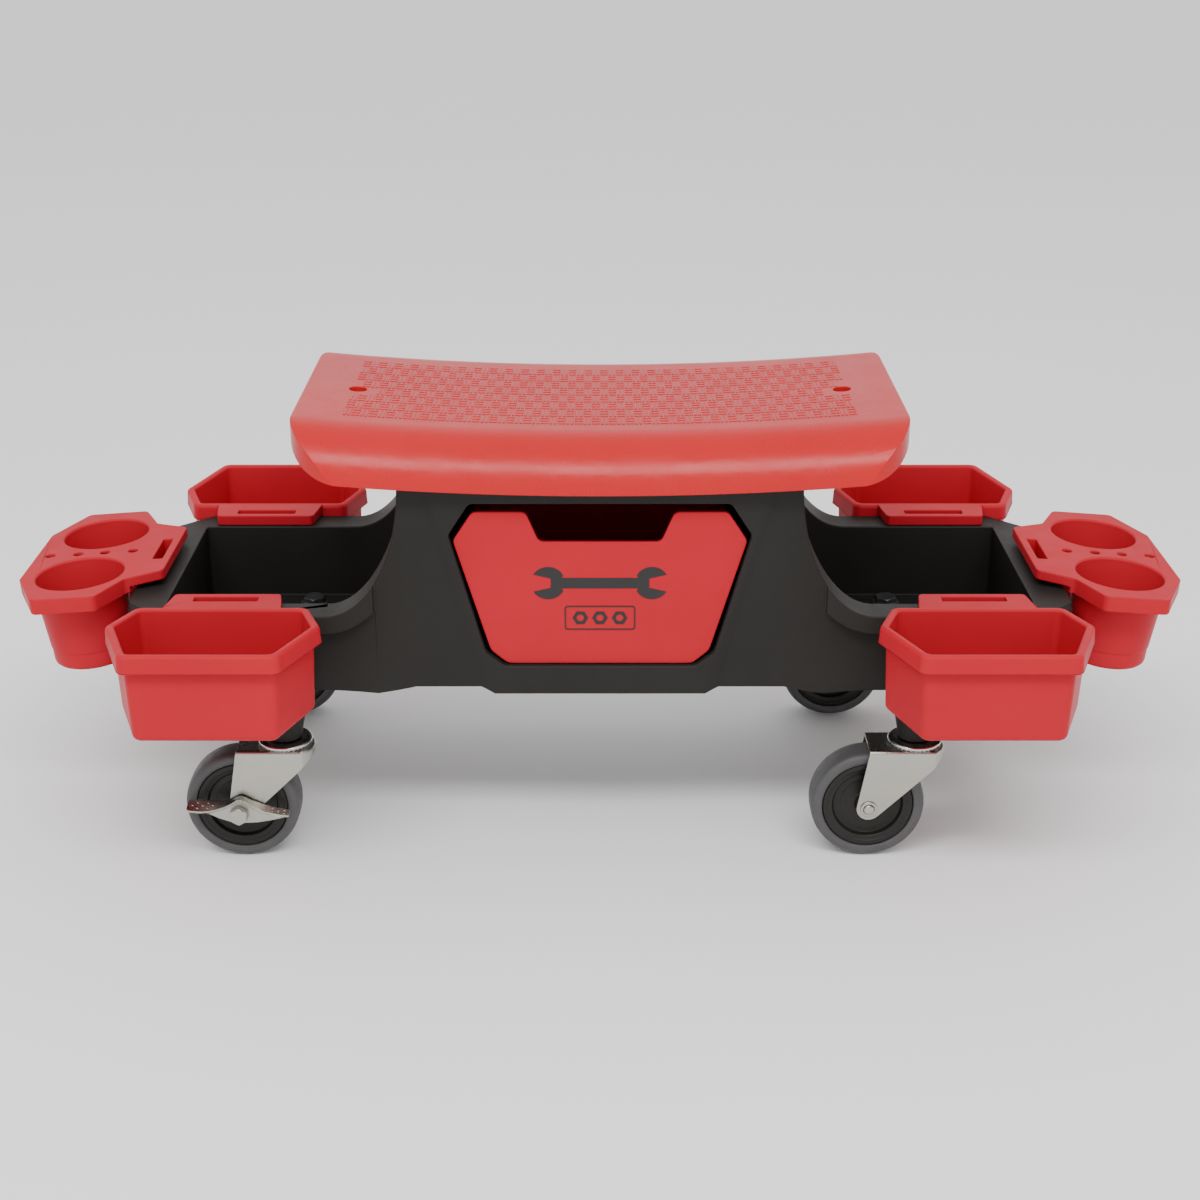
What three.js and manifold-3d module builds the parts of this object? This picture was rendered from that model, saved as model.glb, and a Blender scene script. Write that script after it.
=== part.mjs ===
// A rolling workshop seat: one moulded body with two side trays, a hard seat, a drawer, four lift-off
// bins, two lift-off cup holders and four swivel castors.
// Millimetres. +Z is up and +X runs along the body, the drawer faces -Y, and the origin is on the floor
// under the middle of the body.
import * as THREE from "three";
import { mergeVertices } from "three/addons/utils/BufferGeometryUtils.js";
import Module from "manifold-3d";

const wasm = await Module();
wasm.setup();

// ---------------------------------------------------------------- driving dimensions
const FIT = 0.3; // gap between pieces that touch
const PAST = 5; // how far a cutter runs past the face that it cuts
const ROUND_SEGMENTS = 24; // sides of a wheel or boss
const CUP_SEGMENTS = 20; // sides of a cup
const SMALL_SEGMENTS = 12; // sides of a small hole or pin

const WALL = 3.5;
const BODY = { faceY: 115, wallY: 105.5, bendFromX: 140, bendToX: 215, endX: 360, cornerY: 86.5 };
const TRAY = { floorTop: 130, floorUnder: 127, rimTop: 193, innerY: 86.6, endX: 337, innerX: 152 };
const TRAY_ROUND = { x: 60, y: 61.6 }; // rounded end of a tray beside the housing
const BAND = { depth: 14.5, outerY: 114.5, endX: 368, cornerX: 337, cornerY: 84, fromX: 173 };
const SWEEP = { x: 211, z: 300, a: 59, b: 107 }; // quarter ellipse from the rim up to the housing
const HOUSING = { topZ: 312, deckUnder: 308, innerX: 146, innerY: 111, floorZ: 154, floorUnder: 150.5 };
const PANEL = { proudY: 118.5, topZ: 306, topX: 136, bottomX: 92, edgeTop: 5, edgeBottom: 11, lowZ: 129.7 };
const UNDERSIDE = { z: 134.5, flatX: 142, slopeX: 172, fromY: 90 }; // higher edge of the walls there
const UNDER_RIB = { x: 50, half: 1.5 };
const GUIDE = { x: 88.25, half: 1.75, halfY: 100, topZ: 163 };
const CHANNEL = { fromX: 215, toX: 333, innerY: 90, outerY: 102, topZ: 184, endFromX: 340.5, endToX: 356 };

const SEAT = { halfX: 232, halfY: 130, middleZ: 333, rise: 11, skirtZ: 295.3, skirtRise: 11 };
const SEAT_ROLL = { front: 47, back: 35 }; // radii of the rolled edges
const SEAT_END = { fromX: 187, z: 333, a: 45.5, b: 30.6 }; // quarter ellipse under each end
const SEAT_SHELL = 4;
const SEAT_CORNER = 45;
const SEAT_HOLE = { x: 191, r: 7 };
const SEAT_BOSS = { x: 110, y: 70, r: 8 };
const SCREW = { r: 2.3, hole: 3, pilot: 2.7, headR: 6, headDepth: 3, topZ: 326 };

const DRAWER = { frontY: -114.5, frontDepth: 4, backY: 82, wall: 3, boxTop: 238, lowZ: 154.3 };
const NOTCH = { z: 254, halfLow: 49, halfTop: 58 };

const BIN = { x: 287.7, y: 115, top: 202, low: 134, lipWidth: 7.5, lipDepth: 13.6, skin: 2.4, tilt: 0.04 };
const CLIP = { nearY: 89, halfNear: 41, halfFar: 45, chamfer: 3, slotY: 99.5, slotX: 24.75, slotHalfY: 4.5 };
const PEG = { wall: 1.9, low: 181.5, play: 0.75, under: 1 };

const CUP = { x: 413.4, y: 45.7, hole: 34.6, outer: 37.4, low: 130, lowR: 30, lowInner: 27.6 };
const CUP_PLATE = { top: 201.3, skirt: 12.7, skirtX: 371, skin: 3.2 };
const DROOP = { x: 421, z: 201.3, angle: 3.95 }; // the cup holders hang down outwards, in degrees
const HOLDER_SPACE = { fromX: 300, endX: 500, halfY: 120 }; // room around the whole cup holder
const CUP_SLOT = { x: 356.5, halfX: 4, halfY: 22.5, pegHigh: 199.3 };
const TOOL_HOLES = { xs: [381, 404, 426, 449], r: 4.2 };

const STEM = { x: 244, y: 128, r: 5.5, topZ: 124 };
const ARM = { boltX: 246, boltY: 68, half: 18, top: 126.7, under: 118.7, bossLow: 99.3, bossLowR: 13.5 };
const WHEEL = { trail: 35, r: 44.5, width: 27, hubR: 35.2, boreR: 4.4, hubHalf: 15.2 };
const FORK = { topZ: 94, plate: 2.5, headR: 23.5, outerY: 18.5, plateX: -36, legR: 9.5, rightX: 24 };
const RACE = { low: 95.2, r: 21, pinR: 4, rivetR: 6.5, rivetLow: 88.9 };
const AXLE = { r: 4, headR: 7.5, head: 5.3, nut: 6.5, ringR: 6.6, ring: 1.2, clear: 0.3 };
const PEDAL = { in: 24.5, out: 26.5, left: -41, right: 38, collarR: 8 };
const FLOOR_BOLT = { r: 5, hole: 5.6, headR: 9.8, head: 6.2, flangeR: 12, flange: 1.7, low: 115 };

// ---------------------------------------------------------------- materials
const MATERIALS = {
  red: new THREE.MeshStandardMaterial({ color: 0xc8393c, roughness: 0.45, metalness: 0 }),
  black: new THREE.MeshStandardMaterial({ color: 0x2d2a28, roughness: 0.5, metalness: 0 }),
  hub: new THREE.MeshStandardMaterial({ color: 0x2b2826, roughness: 0.45, metalness: 0 }),
  tyre: new THREE.MeshStandardMaterial({ color: 0x565357, roughness: 0.75, metalness: 0 }),
  zinc: new THREE.MeshStandardMaterial({ color: 0xb9b9b2, roughness: 0.3, metalness: 1 }),
  bolt: new THREE.MeshStandardMaterial({ color: 0x55565a, roughness: 0.4, metalness: 1 }),
};

// ---------------------------------------------------------------- solids and booleans
function solidOf(geometry) {
  const bare = geometry.clone();
  bare.deleteAttribute("normal");
  bare.deleteAttribute("uv");
  const merged = mergeVertices(bare, 1e-4);
  const mesh = new wasm.Mesh({
    numProp: 3,
    vertProperties: merged.attributes.position.array,
    triVerts: new Uint32Array(merged.index.array),
  });
  return new wasm.Manifold(mesh);
}

const join = (...solids) => solids.reduce((whole, part) => whole.add(part));
const cut = (whole, ...cutters) => cutters.reduce((rest, cutter) => rest.subtract(cutter), whole);

function outline(points) {
  return new THREE.Shape(points.map(([x, y]) => new THREE.Vector2(x, y)));
}

// The mirror image of a solid in the plane X = 0.
function mirrored(solid) {
  const { vertProperties, triVerts } = solid.getMesh();
  const flipped = vertProperties.map((value, i) => (i % 3 === 0 ? -value : value));
  const mesh = new wasm.Mesh({ numProp: 3, vertProperties: flipped, triVerts: triVerts.toReversed() });
  return new wasm.Manifold(mesh);
}

// A shape pulled from low to high: a plan along Z, or a side view along Y.
function prism(shape, low, high, axis = "z") {
  const settings = { depth: high - low, bevelEnabled: false, curveSegments: 8 };
  const geometry = new THREE.ExtrudeGeometry(shape, settings);
  geometry.translate(0, 0, axis === "y" ? -high : low);
  if (axis === "y") geometry.rotateX(Math.PI / 2);
  return solidOf(geometry);
}

function block(x0, x1, y0, y1, z0, z1) {
  const geometry = new THREE.BoxGeometry(x1 - x0, y1 - y0, z1 - z0);
  geometry.translate((x0 + x1) / 2, (y0 + y1) / 2, (z0 + z1) / 2);
  return solidOf(geometry);
}

// A cylinder or cone from low to high along Z, or along Y.
function rod([u, v], rLow, low, high, { rHigh = rLow, axis = "z", sides = SMALL_SEGMENTS } = {}) {
  const geometry = new THREE.CylinderGeometry(rHigh, rLow, high - low, sides);
  geometry.translate(0, (low + high) / 2, 0);
  if (axis === "z") {
    geometry.rotateX(Math.PI / 2);
    geometry.translate(u, v, 0);
  } else {
    geometry.translate(u, 0, v);
  }
  return solidOf(geometry);
}

// A turned piece: profile points are [radius, height], and the height runs along Z or Y.
function turned(profile, { axis = "z", sides = ROUND_SEGMENTS, at = [0, 0, 0] } = {}) {
  const points = profile.map(([r, h]) => new THREE.Vector2(r, h));
  const geometry = new THREE.LatheGeometry(points, sides);
  if (axis === "z") geometry.rotateX(Math.PI / 2);
  geometry.translate(...at);
  return solidOf(geometry);
}

// Skins a row of rings, each the same number of [x, y, z] points, and closes both ends with a fan.
function loft(rings) {
  const count = rings[0].length;
  const positions = rings.flat(2);
  const index = [];
  for (let i = 0; i + 1 < rings.length; i++) {
    for (let j = 0; j < count; j++) {
      const a = i * count + j;
      const b = i * count + ((j + 1) % count);
      index.push(a, b, b + count, a, b + count, a + count);
    }
  }
  const middle = (ring) => [0, 1, 2].map((k) => ring.reduce((sum, p) => sum + p[k], 0) / count);
  positions.push(...middle(rings[0]), ...middle(rings.at(-1)));
  const firstMiddle = rings.length * count;
  const lastRing = (rings.length - 1) * count;
  for (let j = 0; j < count; j++) {
    const next = (j + 1) % count;
    index.push(firstMiddle, next, j, firstMiddle + 1, lastRing + j, lastRing + next);
  }
  const geometry = new THREE.BufferGeometry();
  geometry.setAttribute("position", new THREE.Float32BufferAttribute(positions, 3));
  geometry.setIndex(index);
  return solidOf(geometry);
}

// Moves each side of a convex outline inwards, then rounds its corners. The outline runs anticlockwise.
function insetOutline(corners, inset, radius, steps = 2) {
  const count = corners.length;
  const moved = corners.map((corner, i) => {
    const before = corners[(i + count - 1) % count];
    const after = corners[(i + 1) % count];
    const inA = inward(before, corner);
    const inB = inward(corner, after);
    const share = inset / (1 + inA[0] * inB[0] + inA[1] * inB[1]);
    return [corner[0] + (inA[0] + inB[0]) * share, corner[1] + (inA[1] + inB[1]) * share];
  });
  return moved.flatMap((corner, i) => {
    const start = towards(corner, moved[(i + count - 1) % count], radius);
    const end = towards(corner, moved[(i + 1) % count], radius);
    return Array.from({ length: steps + 1 }, (_, k) => bezier(start, corner, end, k / steps));
  });
}

function inward([x0, y0], [x1, y1]) {
  const length = Math.hypot(x1 - x0, y1 - y0);
  return [-(y1 - y0) / length, (x1 - x0) / length];
}

function towards([x, y], [tx, ty], distance) {
  const share = distance / Math.hypot(tx - x, ty - y);
  return [x + (tx - x) * share, y + (ty - y) * share];
}

function bezier([ax, ay], [bx, by], [cx, cy], t) {
  const blend = (a, b, c) => (1 - t) ** 2 * a + 2 * t * (1 - t) * b + t ** 2 * c;
  return [blend(ax, bx, cx), blend(ay, by, cy)];
}

// A closed outline from its stretch in the +X +Y quarter, mirrored into the other three.
function fourfold(quarter) {
  const right = [...quarter, ...quarter.toReversed().map(([x, y]) => [x, -y])];
  const left = right.toReversed().map(([x, y]) => [-x, y]);
  return outline([...right, ...left]);
}

function twofold(right) {
  return outline([...right, ...right.toReversed().map(([x, y]) => [-x, y])]);
}

// ---------------------------------------------------------------- body
// The front and back walls are flush with the housing, then bend inwards under the rim band.
function bodyPlan() {
  const steps = 6;
  const bend = Array.from({ length: steps + 1 }, (_, i) => {
    const t = i / steps;
    const ease = t * t * (3 - 2 * t);
    const x = THREE.MathUtils.lerp(BODY.bendFromX, BODY.bendToX, t);
    return [x, THREE.MathUtils.lerp(BODY.faceY, BODY.wallY, ease)];
  });
  const cornerX = BODY.endX - (BODY.wallY - BODY.cornerY);
  return fourfold([...bend, [cornerX, BODY.wallY], [BODY.endX, BODY.cornerY]]);
}

// Points of the sweep from the rim upwards, moved outwards by grow and ending at X = toX.
function sweepPoints(grow, toX, steps = 10) {
  const a = SWEEP.a + grow;
  const last = Math.asin((SWEEP.x - toX) / a);
  return Array.from({ length: steps + 1 }, (_, i) => {
    const t = (last * i) / steps;
    return [SWEEP.x - a * Math.sin(t), SWEEP.z - (SWEEP.b + grow) * Math.cos(t)];
  });
}

function wallProfile() {
  const rim = [BODY.endX + PAST, TRAY.rimTop];
  const foot = [BODY.endX + PAST, TRAY.floorUnder - PAST];
  const sweep = sweepPoints(0, TRAY.innerX);
  return twofold([foot, rim, ...sweep, [TRAY.innerX, HOUSING.topZ]]);
}

function rimBand() {
  const upper = [[BAND.endX, TRAY.rimTop], ...sweepPoints(0, BAND.fromX)];
  const lower = [[BAND.endX, TRAY.rimTop - BAND.depth], ...sweepPoints(BAND.depth, BAND.fromX)];
  const side = outline([...upper, ...lower.toReversed()]);
  const right = prism(side, -BAND.outerY, BAND.outerY, "y");
  const plan = [[BAND.fromX, BAND.outerY], [BAND.cornerX, BAND.outerY], [BAND.endX, BAND.cornerY]];
  return join(right, mirrored(right)).intersect(prism(fourfold(plan), TRAY.floorTop, HOUSING.topZ));
}

function trayHollow() {
  const { x: roundX, y: roundY } = TRAY_ROUND;
  const centreX = TRAY.innerX + roundX;
  const centreY = TRAY.innerY - roundY;
  const plan = new THREE.Shape();
  plan.moveTo(TRAY.endX, -TRAY.innerY);
  plan.lineTo(TRAY.endX, TRAY.innerY);
  plan.lineTo(centreX, TRAY.innerY);
  plan.absellipse(centreX, centreY, roundX, roundY, Math.PI / 2, Math.PI, false);
  plan.absellipse(centreX, -centreY, roundX, roundY, Math.PI, 1.5 * Math.PI, false);
  return prism(plan, TRAY.floorTop, HOUSING.topZ + PAST);
}

// Hollow walls, open underneath: a channel along the front, the back and the end of a tray.
function wallChannels() {
  const low = TRAY.floorUnder - PAST;
  const { fromX, toX, innerY, outerY, topZ, endFromX, endToX } = CHANNEL;
  return join(
    block(fromX, toX, innerY, outerY, low, topZ),
    block(fromX, toX, -outerY, -innerY, low, topZ),
    block(endFromX, endToX, -BODY.cornerY + WALL, BODY.cornerY - WALL, low, topZ),
  );
}

// The rim slots that the bins' and cup holder's pegs plug into.
function rimSlots() {
  const halfX = CLIP.slotX + PEG.wall + PEG.play;
  const halfY = CLIP.slotHalfY + PEG.wall + PEG.play;
  const low = PEG.low - PEG.under;
  const high = TRAY.rimTop + PAST;
  const { x, halfX: endHalfX, halfY: endHalfY } = CUP_SLOT;
  const endX = endHalfX + PEG.wall + PEG.play;
  const endY = endHalfY + PEG.wall + PEG.play;
  return join(
    ...[1, -1].map((s) => {
      const middleY = s * CLIP.slotY;
      return block(BIN.x - halfX, BIN.x + halfX, middleY - halfY, middleY + halfY, low, high);
    }),
    block(x - endX, x + endX, -endY, endY, low, high),
  );
}

function armBoltHoles() {
  const reliefR = 19.5;
  return join(
    ...[1, -1].flatMap((s) => {
      const at = [ARM.boltX, s * ARM.boltY];
      const hole = rod(at, FLOOR_BOLT.hole, TRAY.floorUnder - PAST, TRAY.floorTop + PAST);
      const relief = rod(at, reliefR, TRAY.floorTop, TRAY.rimTop - BAND.depth, { sides: ROUND_SEGMENTS });
      return [hole, relief];
    }),
  );
}

// The proud trapezium on the front and the back of the housing.
function facePanel(side) {
  const quad = (topX, bottomX, y, lowZ) => [
    [bottomX, side * y, lowZ],
    [topX, side * y, PANEL.topZ],
    [-topX, side * y, PANEL.topZ],
    [-bottomX, side * y, lowZ],
  ];
  const rings = [
    quad(PANEL.topX, PANEL.bottomX, HOUSING.innerY, UNDERSIDE.z),
    quad(PANEL.topX, PANEL.bottomX, BODY.faceY, UNDERSIDE.z),
    quad(PANEL.topX - PANEL.edgeTop, PANEL.bottomX - PANEL.edgeBottom, PANEL.proudY, PANEL.lowZ),
  ];
  return loft(side < 0 ? rings : rings.toReversed());
}

// The front and back walls end higher below the housing than beside the trays.
function wallUndercut(side) {
  const { z, flatX, slopeX, fromY } = UNDERSIDE;
  const run = (PAST * (slopeX - flatX)) / (z - TRAY.floorUnder);
  const right = [[slopeX + run, TRAY.floorUnder - PAST], [flatX, z]];
  const [low, high] = [side * fromY, side * (PANEL.proudY + PAST)].sort((p, q) => p - q);
  return prism(twofold(right), low, high, "y");
}

function drawerOpening() {
  const right = [[73, 153.7], [87.5, 165], [114, 260.5], [98, 285.5]];
  return prism(twofold(right), -PANEL.proudY - PAST, -HOUSING.innerY + PAST, "y");
}

function underRib(x) {
  const { innerY, floorUnder } = HOUSING;
  return block(x - UNDER_RIB.half, x + UNDER_RIB.half, -innerY, innerY, UNDERSIDE.z, floorUnder);
}

// A low rib on the housing floor that keeps the drawer straight.
function drawerGuide(side) {
  const { x, half, halfY, topZ } = GUIDE;
  return block(side * x - half, side * x + half, -halfY, halfY, HOUSING.floorUnder, topZ);
}

function makeChassis() {
  const walls = prism(bodyPlan(), TRAY.floorUnder, HOUSING.topZ);
  const profiled = walls.intersect(prism(wallProfile(), -PANEL.proudY, PANEL.proudY, "y"));
  const shaped = cut(profiled, wallUndercut(1), wallUndercut(-1));
  const { innerX, innerY, deckUnder, floorZ, floorUnder } = HOUSING;
  const outside = join(shaped, rimBand(), facePanel(1), facePanel(-1));
  const rightCuts = [trayHollow(), wallChannels(), rimSlots(), armBoltHoles()];
  const [screwLow, screwHigh] = [deckUnder - PAST, HOUSING.topZ + PAST];
  const screwHoles = seatScrewPlaces().map((at) => rod(at, SCREW.hole, screwLow, screwHigh));
  const hollowed = cut(
    outside,
    block(-innerX, innerX, -innerY, innerY, floorZ, deckUnder),
    block(-innerX, innerX, -innerY, innerY, PANEL.lowZ - PAST, floorUnder),
    drawerOpening(),
    ...rightCuts,
    ...rightCuts.map(mirrored),
    ...screwHoles,
  );
  const ribs = [-1, 1].flatMap((side) => [underRib(side * UNDER_RIB.x), drawerGuide(side)]);
  return join(hollowed, ...ribs);
}

// ---------------------------------------------------------------- seat
function seatScrewPlaces() {
  return [-1, 1].flatMap((sx) => [-1, 1].map((sy) => [sx * SEAT_BOSS.x, sy * SEAT_BOSS.y]));
}

const seatTop = (x) => SEAT.middleZ + SEAT.rise * (x / SEAT.halfX) ** 2;
const seatSkirt = (x) => SEAT.skirtZ + SEAT.skirtRise * (x / SEAT.halfX) ** 2;

// One cross-section of the seat: flat on top, rolling over to the front and back skirts.
function seatSection(x, shell) {
  const steps = 5;
  const skirt = seatSkirt(x);
  const edge = (roll, side) => {
    const r = roll - shell;
    const centreY = SEAT.halfY - roll;
    const centreZ = seatTop(x) - roll;
    const lowAngle = Math.asin(Math.max(0, skirt - centreZ) / r);
    const rolled = Array.from({ length: steps + 1 }, (_, i) => {
      const t = THREE.MathUtils.lerp(lowAngle, Math.PI / 2, i / steps);
      return [x, side * (centreY + r * Math.cos(t)), centreZ + r * Math.sin(t)];
    });
    return [[x, rolled[0][1], skirt - (shell ? PAST : 1e-3)], ...rolled];
  };
  return [...edge(SEAT_ROLL.back, 1), ...edge(SEAT_ROLL.front, -1).toReversed()];
}

function seatBlank(shell) {
  const stations = 10;
  const halfX = SEAT.halfX - shell;
  const rings = Array.from({ length: stations + 1 }, (_, i) => {
    return seatSection(THREE.MathUtils.lerp(-halfX, halfX, i / stations), shell);
  });
  const halfY = SEAT.halfY - shell;
  const corners = [[-halfX, -halfY], [halfX, -halfY], [halfX, halfY], [-halfX, halfY]];
  const plan = insetOutline(corners, 0, SEAT_CORNER - shell, 5);
  return loft(rings).intersect(prism(outline(plan), SEAT.skirtZ - 2 * PAST, SEAT.middleZ + 3 * PAST));
}

// The front view of the seat: the skirt curls up under each end.
function seatFrontView() {
  const { fromX, z, a, b } = SEAT_END;
  const steps = 6;
  const curl = Array.from({ length: steps + 1 }, (_, i) => {
    const t = (Math.PI / 2) * (i / steps);
    return [fromX + a * Math.sin(t), z - b * Math.cos(t)];
  });
  const right = [[fromX, SEAT.skirtZ - PAST], ...curl, [fromX + a, SEAT.middleZ + 3 * PAST]];
  return prism(twofold(right), -SEAT.halfY - PAST, SEAT.halfY + PAST, "y");
}

function makeSeat() {
  const shell = cut(seatBlank(0).intersect(seatFrontView()), seatBlank(SEAT_SHELL));
  const bossTop = SEAT.middleZ - 1;
  const bosses = seatScrewPlaces().map((at) => rod(at, SEAT_BOSS.r, HOUSING.topZ + FIT, bossTop));
  const pilots = seatScrewPlaces().map((at) => rod(at, SCREW.pilot, HOUSING.topZ - PAST, SCREW.topZ + 1));
  const holes = [-1, 1].map((s) => {
    return rod([s * SEAT_HOLE.x, 0], SEAT_HOLE.r, SEAT.skirtZ, SEAT.middleZ + 3 * PAST, { sides: 20 });
  });
  return cut(join(shell, ...bosses), ...pilots, ...holes);
}

function makeSeatScrew([x, y]) {
  const headTop = HOUSING.deckUnder - FIT;
  const head = rod([x, y], SCREW.headR, headTop - SCREW.headDepth, headTop);
  return join(head, rod([x, y], SCREW.r, headTop - 1, SCREW.topZ));
}

// ---------------------------------------------------------------- drawer
function makeDrawer() {
  const { frontY, frontDepth, backY, wall, boxTop, lowZ } = DRAWER;
  const face = [[71, lowZ], [84, 165.3], [111, 255], [108, 261.5], [96, 277], [91, 278], [62, 278]];
  const notch = [[NOTCH.halfTop, 273], [NOTCH.halfLow + 1, NOTCH.z + 3], [NOTCH.halfLow - 3, NOTCH.z]];
  const front = prism(twofold([...face, ...notch]), frontY, frontY + frontDepth, "y");
  const section = [[69.5, lowZ], [82.5, 165.6], [104.4, boxTop]];
  const inner = [[68, lowZ + wall], [79.8, 167], [101.9, boxTop + 1]];
  const box = prism(twofold(section), frontY + 1, backY, "y");
  return join(front, cut(box, prism(twofold(inner), frontY + frontDepth, backY - wall, "y")));
}

// ---------------------------------------------------------------- bins and cup holders
// A bin for the back right corner; the others are its mirror images. Its rim rises outwards.
function makeBin() {
  const corners = [[-66.2, 0], [66.2, 0], [81, 41.5], [57.6, 105], [-57.6, 105], [-81, 41.5]];
  const { top, low, lipWidth, lipDepth, skin, tilt } = BIN;
  const ring = (inset, z, radius = 7) => {
    const points = insetOutline(corners, inset, radius);
    const rise = (tilt * (z - low)) / (top - low);
    return points.map(([x, y]) => [BIN.x + x, BIN.y + y, z + rise * y]);
  };
  const wallTop = lipWidth - skin;
  const draft = 2.5;
  const rings = [
    ring(wallTop + draft + 6, low, 4),
    ring(wallTop + draft + 1.5, low + 2.5, 5),
    ring(wallTop + draft, low + 9, 6),
    ring(wallTop, top - skin),
    ring(skin, top - skin),
    ring(skin, top - lipDepth),
    ring(0, top - lipDepth, 8),
    ring(0, top - 2, 8),
    ring(1.2, top, 8),
    ring(lipWidth, top, 6),
    ring(lipWidth + draft, low + 10, 5),
    ring(lipWidth + draft + 5, low + skin, 4),
  ];
  const slot = [BIN.x, CLIP.slotY, CLIP.slotX, CLIP.slotHalfY];
  return cut(join(loft(rings), makeClip(), pegFor(...slot)), slotFor(...slot));
}

// The tab that hangs a bin on the rim.
function makeClip() {
  const { halfFar, halfNear, nearY, chamfer } = CLIP;
  const far = [[halfFar, BIN.y + PAST], [halfFar, BIN.y]];
  const half = [...far, [halfNear, nearY + 1], [halfNear - chamfer, nearY]];
  const plan = [...half, ...half.toReversed().map(([x, y]) => [-x, y])];
  return prism(outline(plan.map(([x, y]) => [BIN.x + x, y])), TRAY.rimTop + FIT, BIN.top);
}

function pegFor(x, y, halfX, halfY, high = TRAY.rimTop + 1) {
  const [px, py] = [halfX + PEG.wall, halfY + PEG.wall];
  return block(x - px, x + px, y - py, y + py, PEG.low, high);
}

function slotFor(x, y, halfX, halfY) {
  return block(x - halfX, x + halfX, y - halfY, y + halfY, PEG.low - PAST, BIN.top + 2 * PAST);
}

function cupPlan(inset, fromX) {
  const half = [[346, 49.5], [374, 64], [390, 98.4], [440, 98], [461, 50]];
  const corners = [...half.map(([x, y]) => [x, -y]), ...half.toReversed()];
  const plan = outline(insetOutline(corners, inset, 5));
  const whole = prism(plan, CUP.low, CUP_PLATE.top + PAST);
  const { endX, halfY } = HOLDER_SPACE;
  return whole.intersect(block(fromX, endX, -halfY, halfY, CUP.low, CUP_PLATE.top + PAST));
}

function layer(solid, low, high) {
  const { fromX, endX, halfY } = HOLDER_SPACE;
  return solid.intersect(block(fromX, endX, -halfY, halfY, low, high));
}

// The cup holder for the right end; the left one is its mirror image.
function makeCupHolder() {
  const { top, skirt, skirtX, skin } = CUP_PLATE;
  const neck = layer(cupPlan(0, HOLDER_SPACE.fromX), TRAY.rimTop + FIT, top);
  const deep = layer(cupPlan(0, skirtX), top - skirt, top);
  const pocket = layer(cupPlan(skin, skirtX + skin), top - skirt - PAST, top - skin);
  const cups = [1, -1].map((s) => cupOutside(s * CUP.y));
  const plate = join(cut(join(neck, deep), pocket), ...cups);
  const bores = [1, -1].map((s) => cupInside(s * CUP.y));
  const { x, halfX, halfY, pegHigh } = CUP_SLOT;
  const holder = join(drooping(cut(plate, ...bores)), pegFor(x, 0, halfX, halfY, pegHigh));
  const holes = TOOL_HOLES.xs.map((at) => rod([at, 0], TOOL_HOLES.r, top - 3 * PAST, top + 2 * PAST));
  return cut(holder, slotFor(x, 0, halfX, halfY), ...holes);
}

function drooping(solid) {
  const { x, z, angle } = DROOP;
  return solid.translate([-x, 0, -z]).rotate([0, angle, 0]).translate([x, 0, z]);
}

function cupOutside(y) {
  const { low, lowR, outer } = CUP;
  const foot = [[0, low], [lowR - 3, low], [lowR, low + 3], [lowR + 0.8, low + 14]];
  const head = [[outer, CUP_PLATE.top - 2], [0, CUP_PLATE.top - 2]];
  return turned([...foot, ...head], { at: [CUP.x, y, 0], sides: CUP_SEGMENTS });
}

function cupInside(y) {
  const { low, lowInner, hole } = CUP;
  const floor = low + 2.5;
  const profile = [[0, floor], [lowInner - 3, floor], [lowInner, floor + 3], [hole, CUP_PLATE.top - 3]];
  const mouth = [[hole, CUP_PLATE.top + PAST], [0, CUP_PLATE.top + PAST]];
  return turned([...profile, ...mouth], { at: [CUP.x, y, 0], sides: CUP_SEGMENTS });
}

// ---------------------------------------------------------------- castors
// Castor pieces are drawn round the stem of a front castor, whose outer side faces -Y.
function makeArm(side) {
  const bolt = [ARM.boltX * side, -ARM.boltY];
  const stem = [STEM.x * side, -STEM.y];
  const { half, under, top, bossLow, bossLowR } = ARM;
  const flank = half - 1.2;
  const bar = outline([
    [bolt[0] - flank, bolt[1]],
    [stem[0] - flank, stem[1]],
    [stem[0] + flank, stem[1]],
    [bolt[0] + flank, bolt[1]],
  ]);
  const ends = [bolt, stem].map((at) => rod(at, half, under, top, { sides: ROUND_SEGMENTS }));
  const boss = rod(stem, bossLowR, bossLow, under + 1, { rHigh: half - 1, sides: ROUND_SEGMENTS });
  return cut(
    join(prism(bar, under, top), ...ends, boss),
    rod(stem, STEM.r + FIT, bossLow - PAST, top + PAST),
    rod(bolt, FLOOR_BOLT.r + FIT, under - PAST, top + PAST),
  );
}

function makeArmBolt(side) {
  const at = [ARM.boltX * side, -ARM.boltY];
  const seatZ = TRAY.floorTop + FIT;
  const { r, headR, head, flangeR, flange, low } = FLOOR_BOLT;
  return join(
    rod(at, r, low, seatZ + 1),
    rod(at, flangeR, seatZ, seatZ + flange, { rHigh: headR, sides: 20 }),
    rod(at, headR, seatZ + flange - 0.2, seatZ + head, { sides: 6 }),
  );
}

// The stem, the dished upper race and the king pin that the fork turns on.
function makeStem() {
  const { low, r, pinR, rivetR, rivetLow } = RACE;
  const raceTop = low + 3.7;
  return turned([
    [0, rivetLow],
    [rivetR, rivetLow],
    [rivetR, rivetLow + 2],
    [pinR, rivetLow + 2.2],
    [pinR, low],
    [r - 2, low],
    [r, low + 0.8],
    [r - 0.3, low + 2],
    [r - 4, raceTop],
    [STEM.r, raceTop],
    [STEM.r, STEM.topZ],
    [0, STEM.topZ],
  ], { sides: 20 });
}

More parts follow.
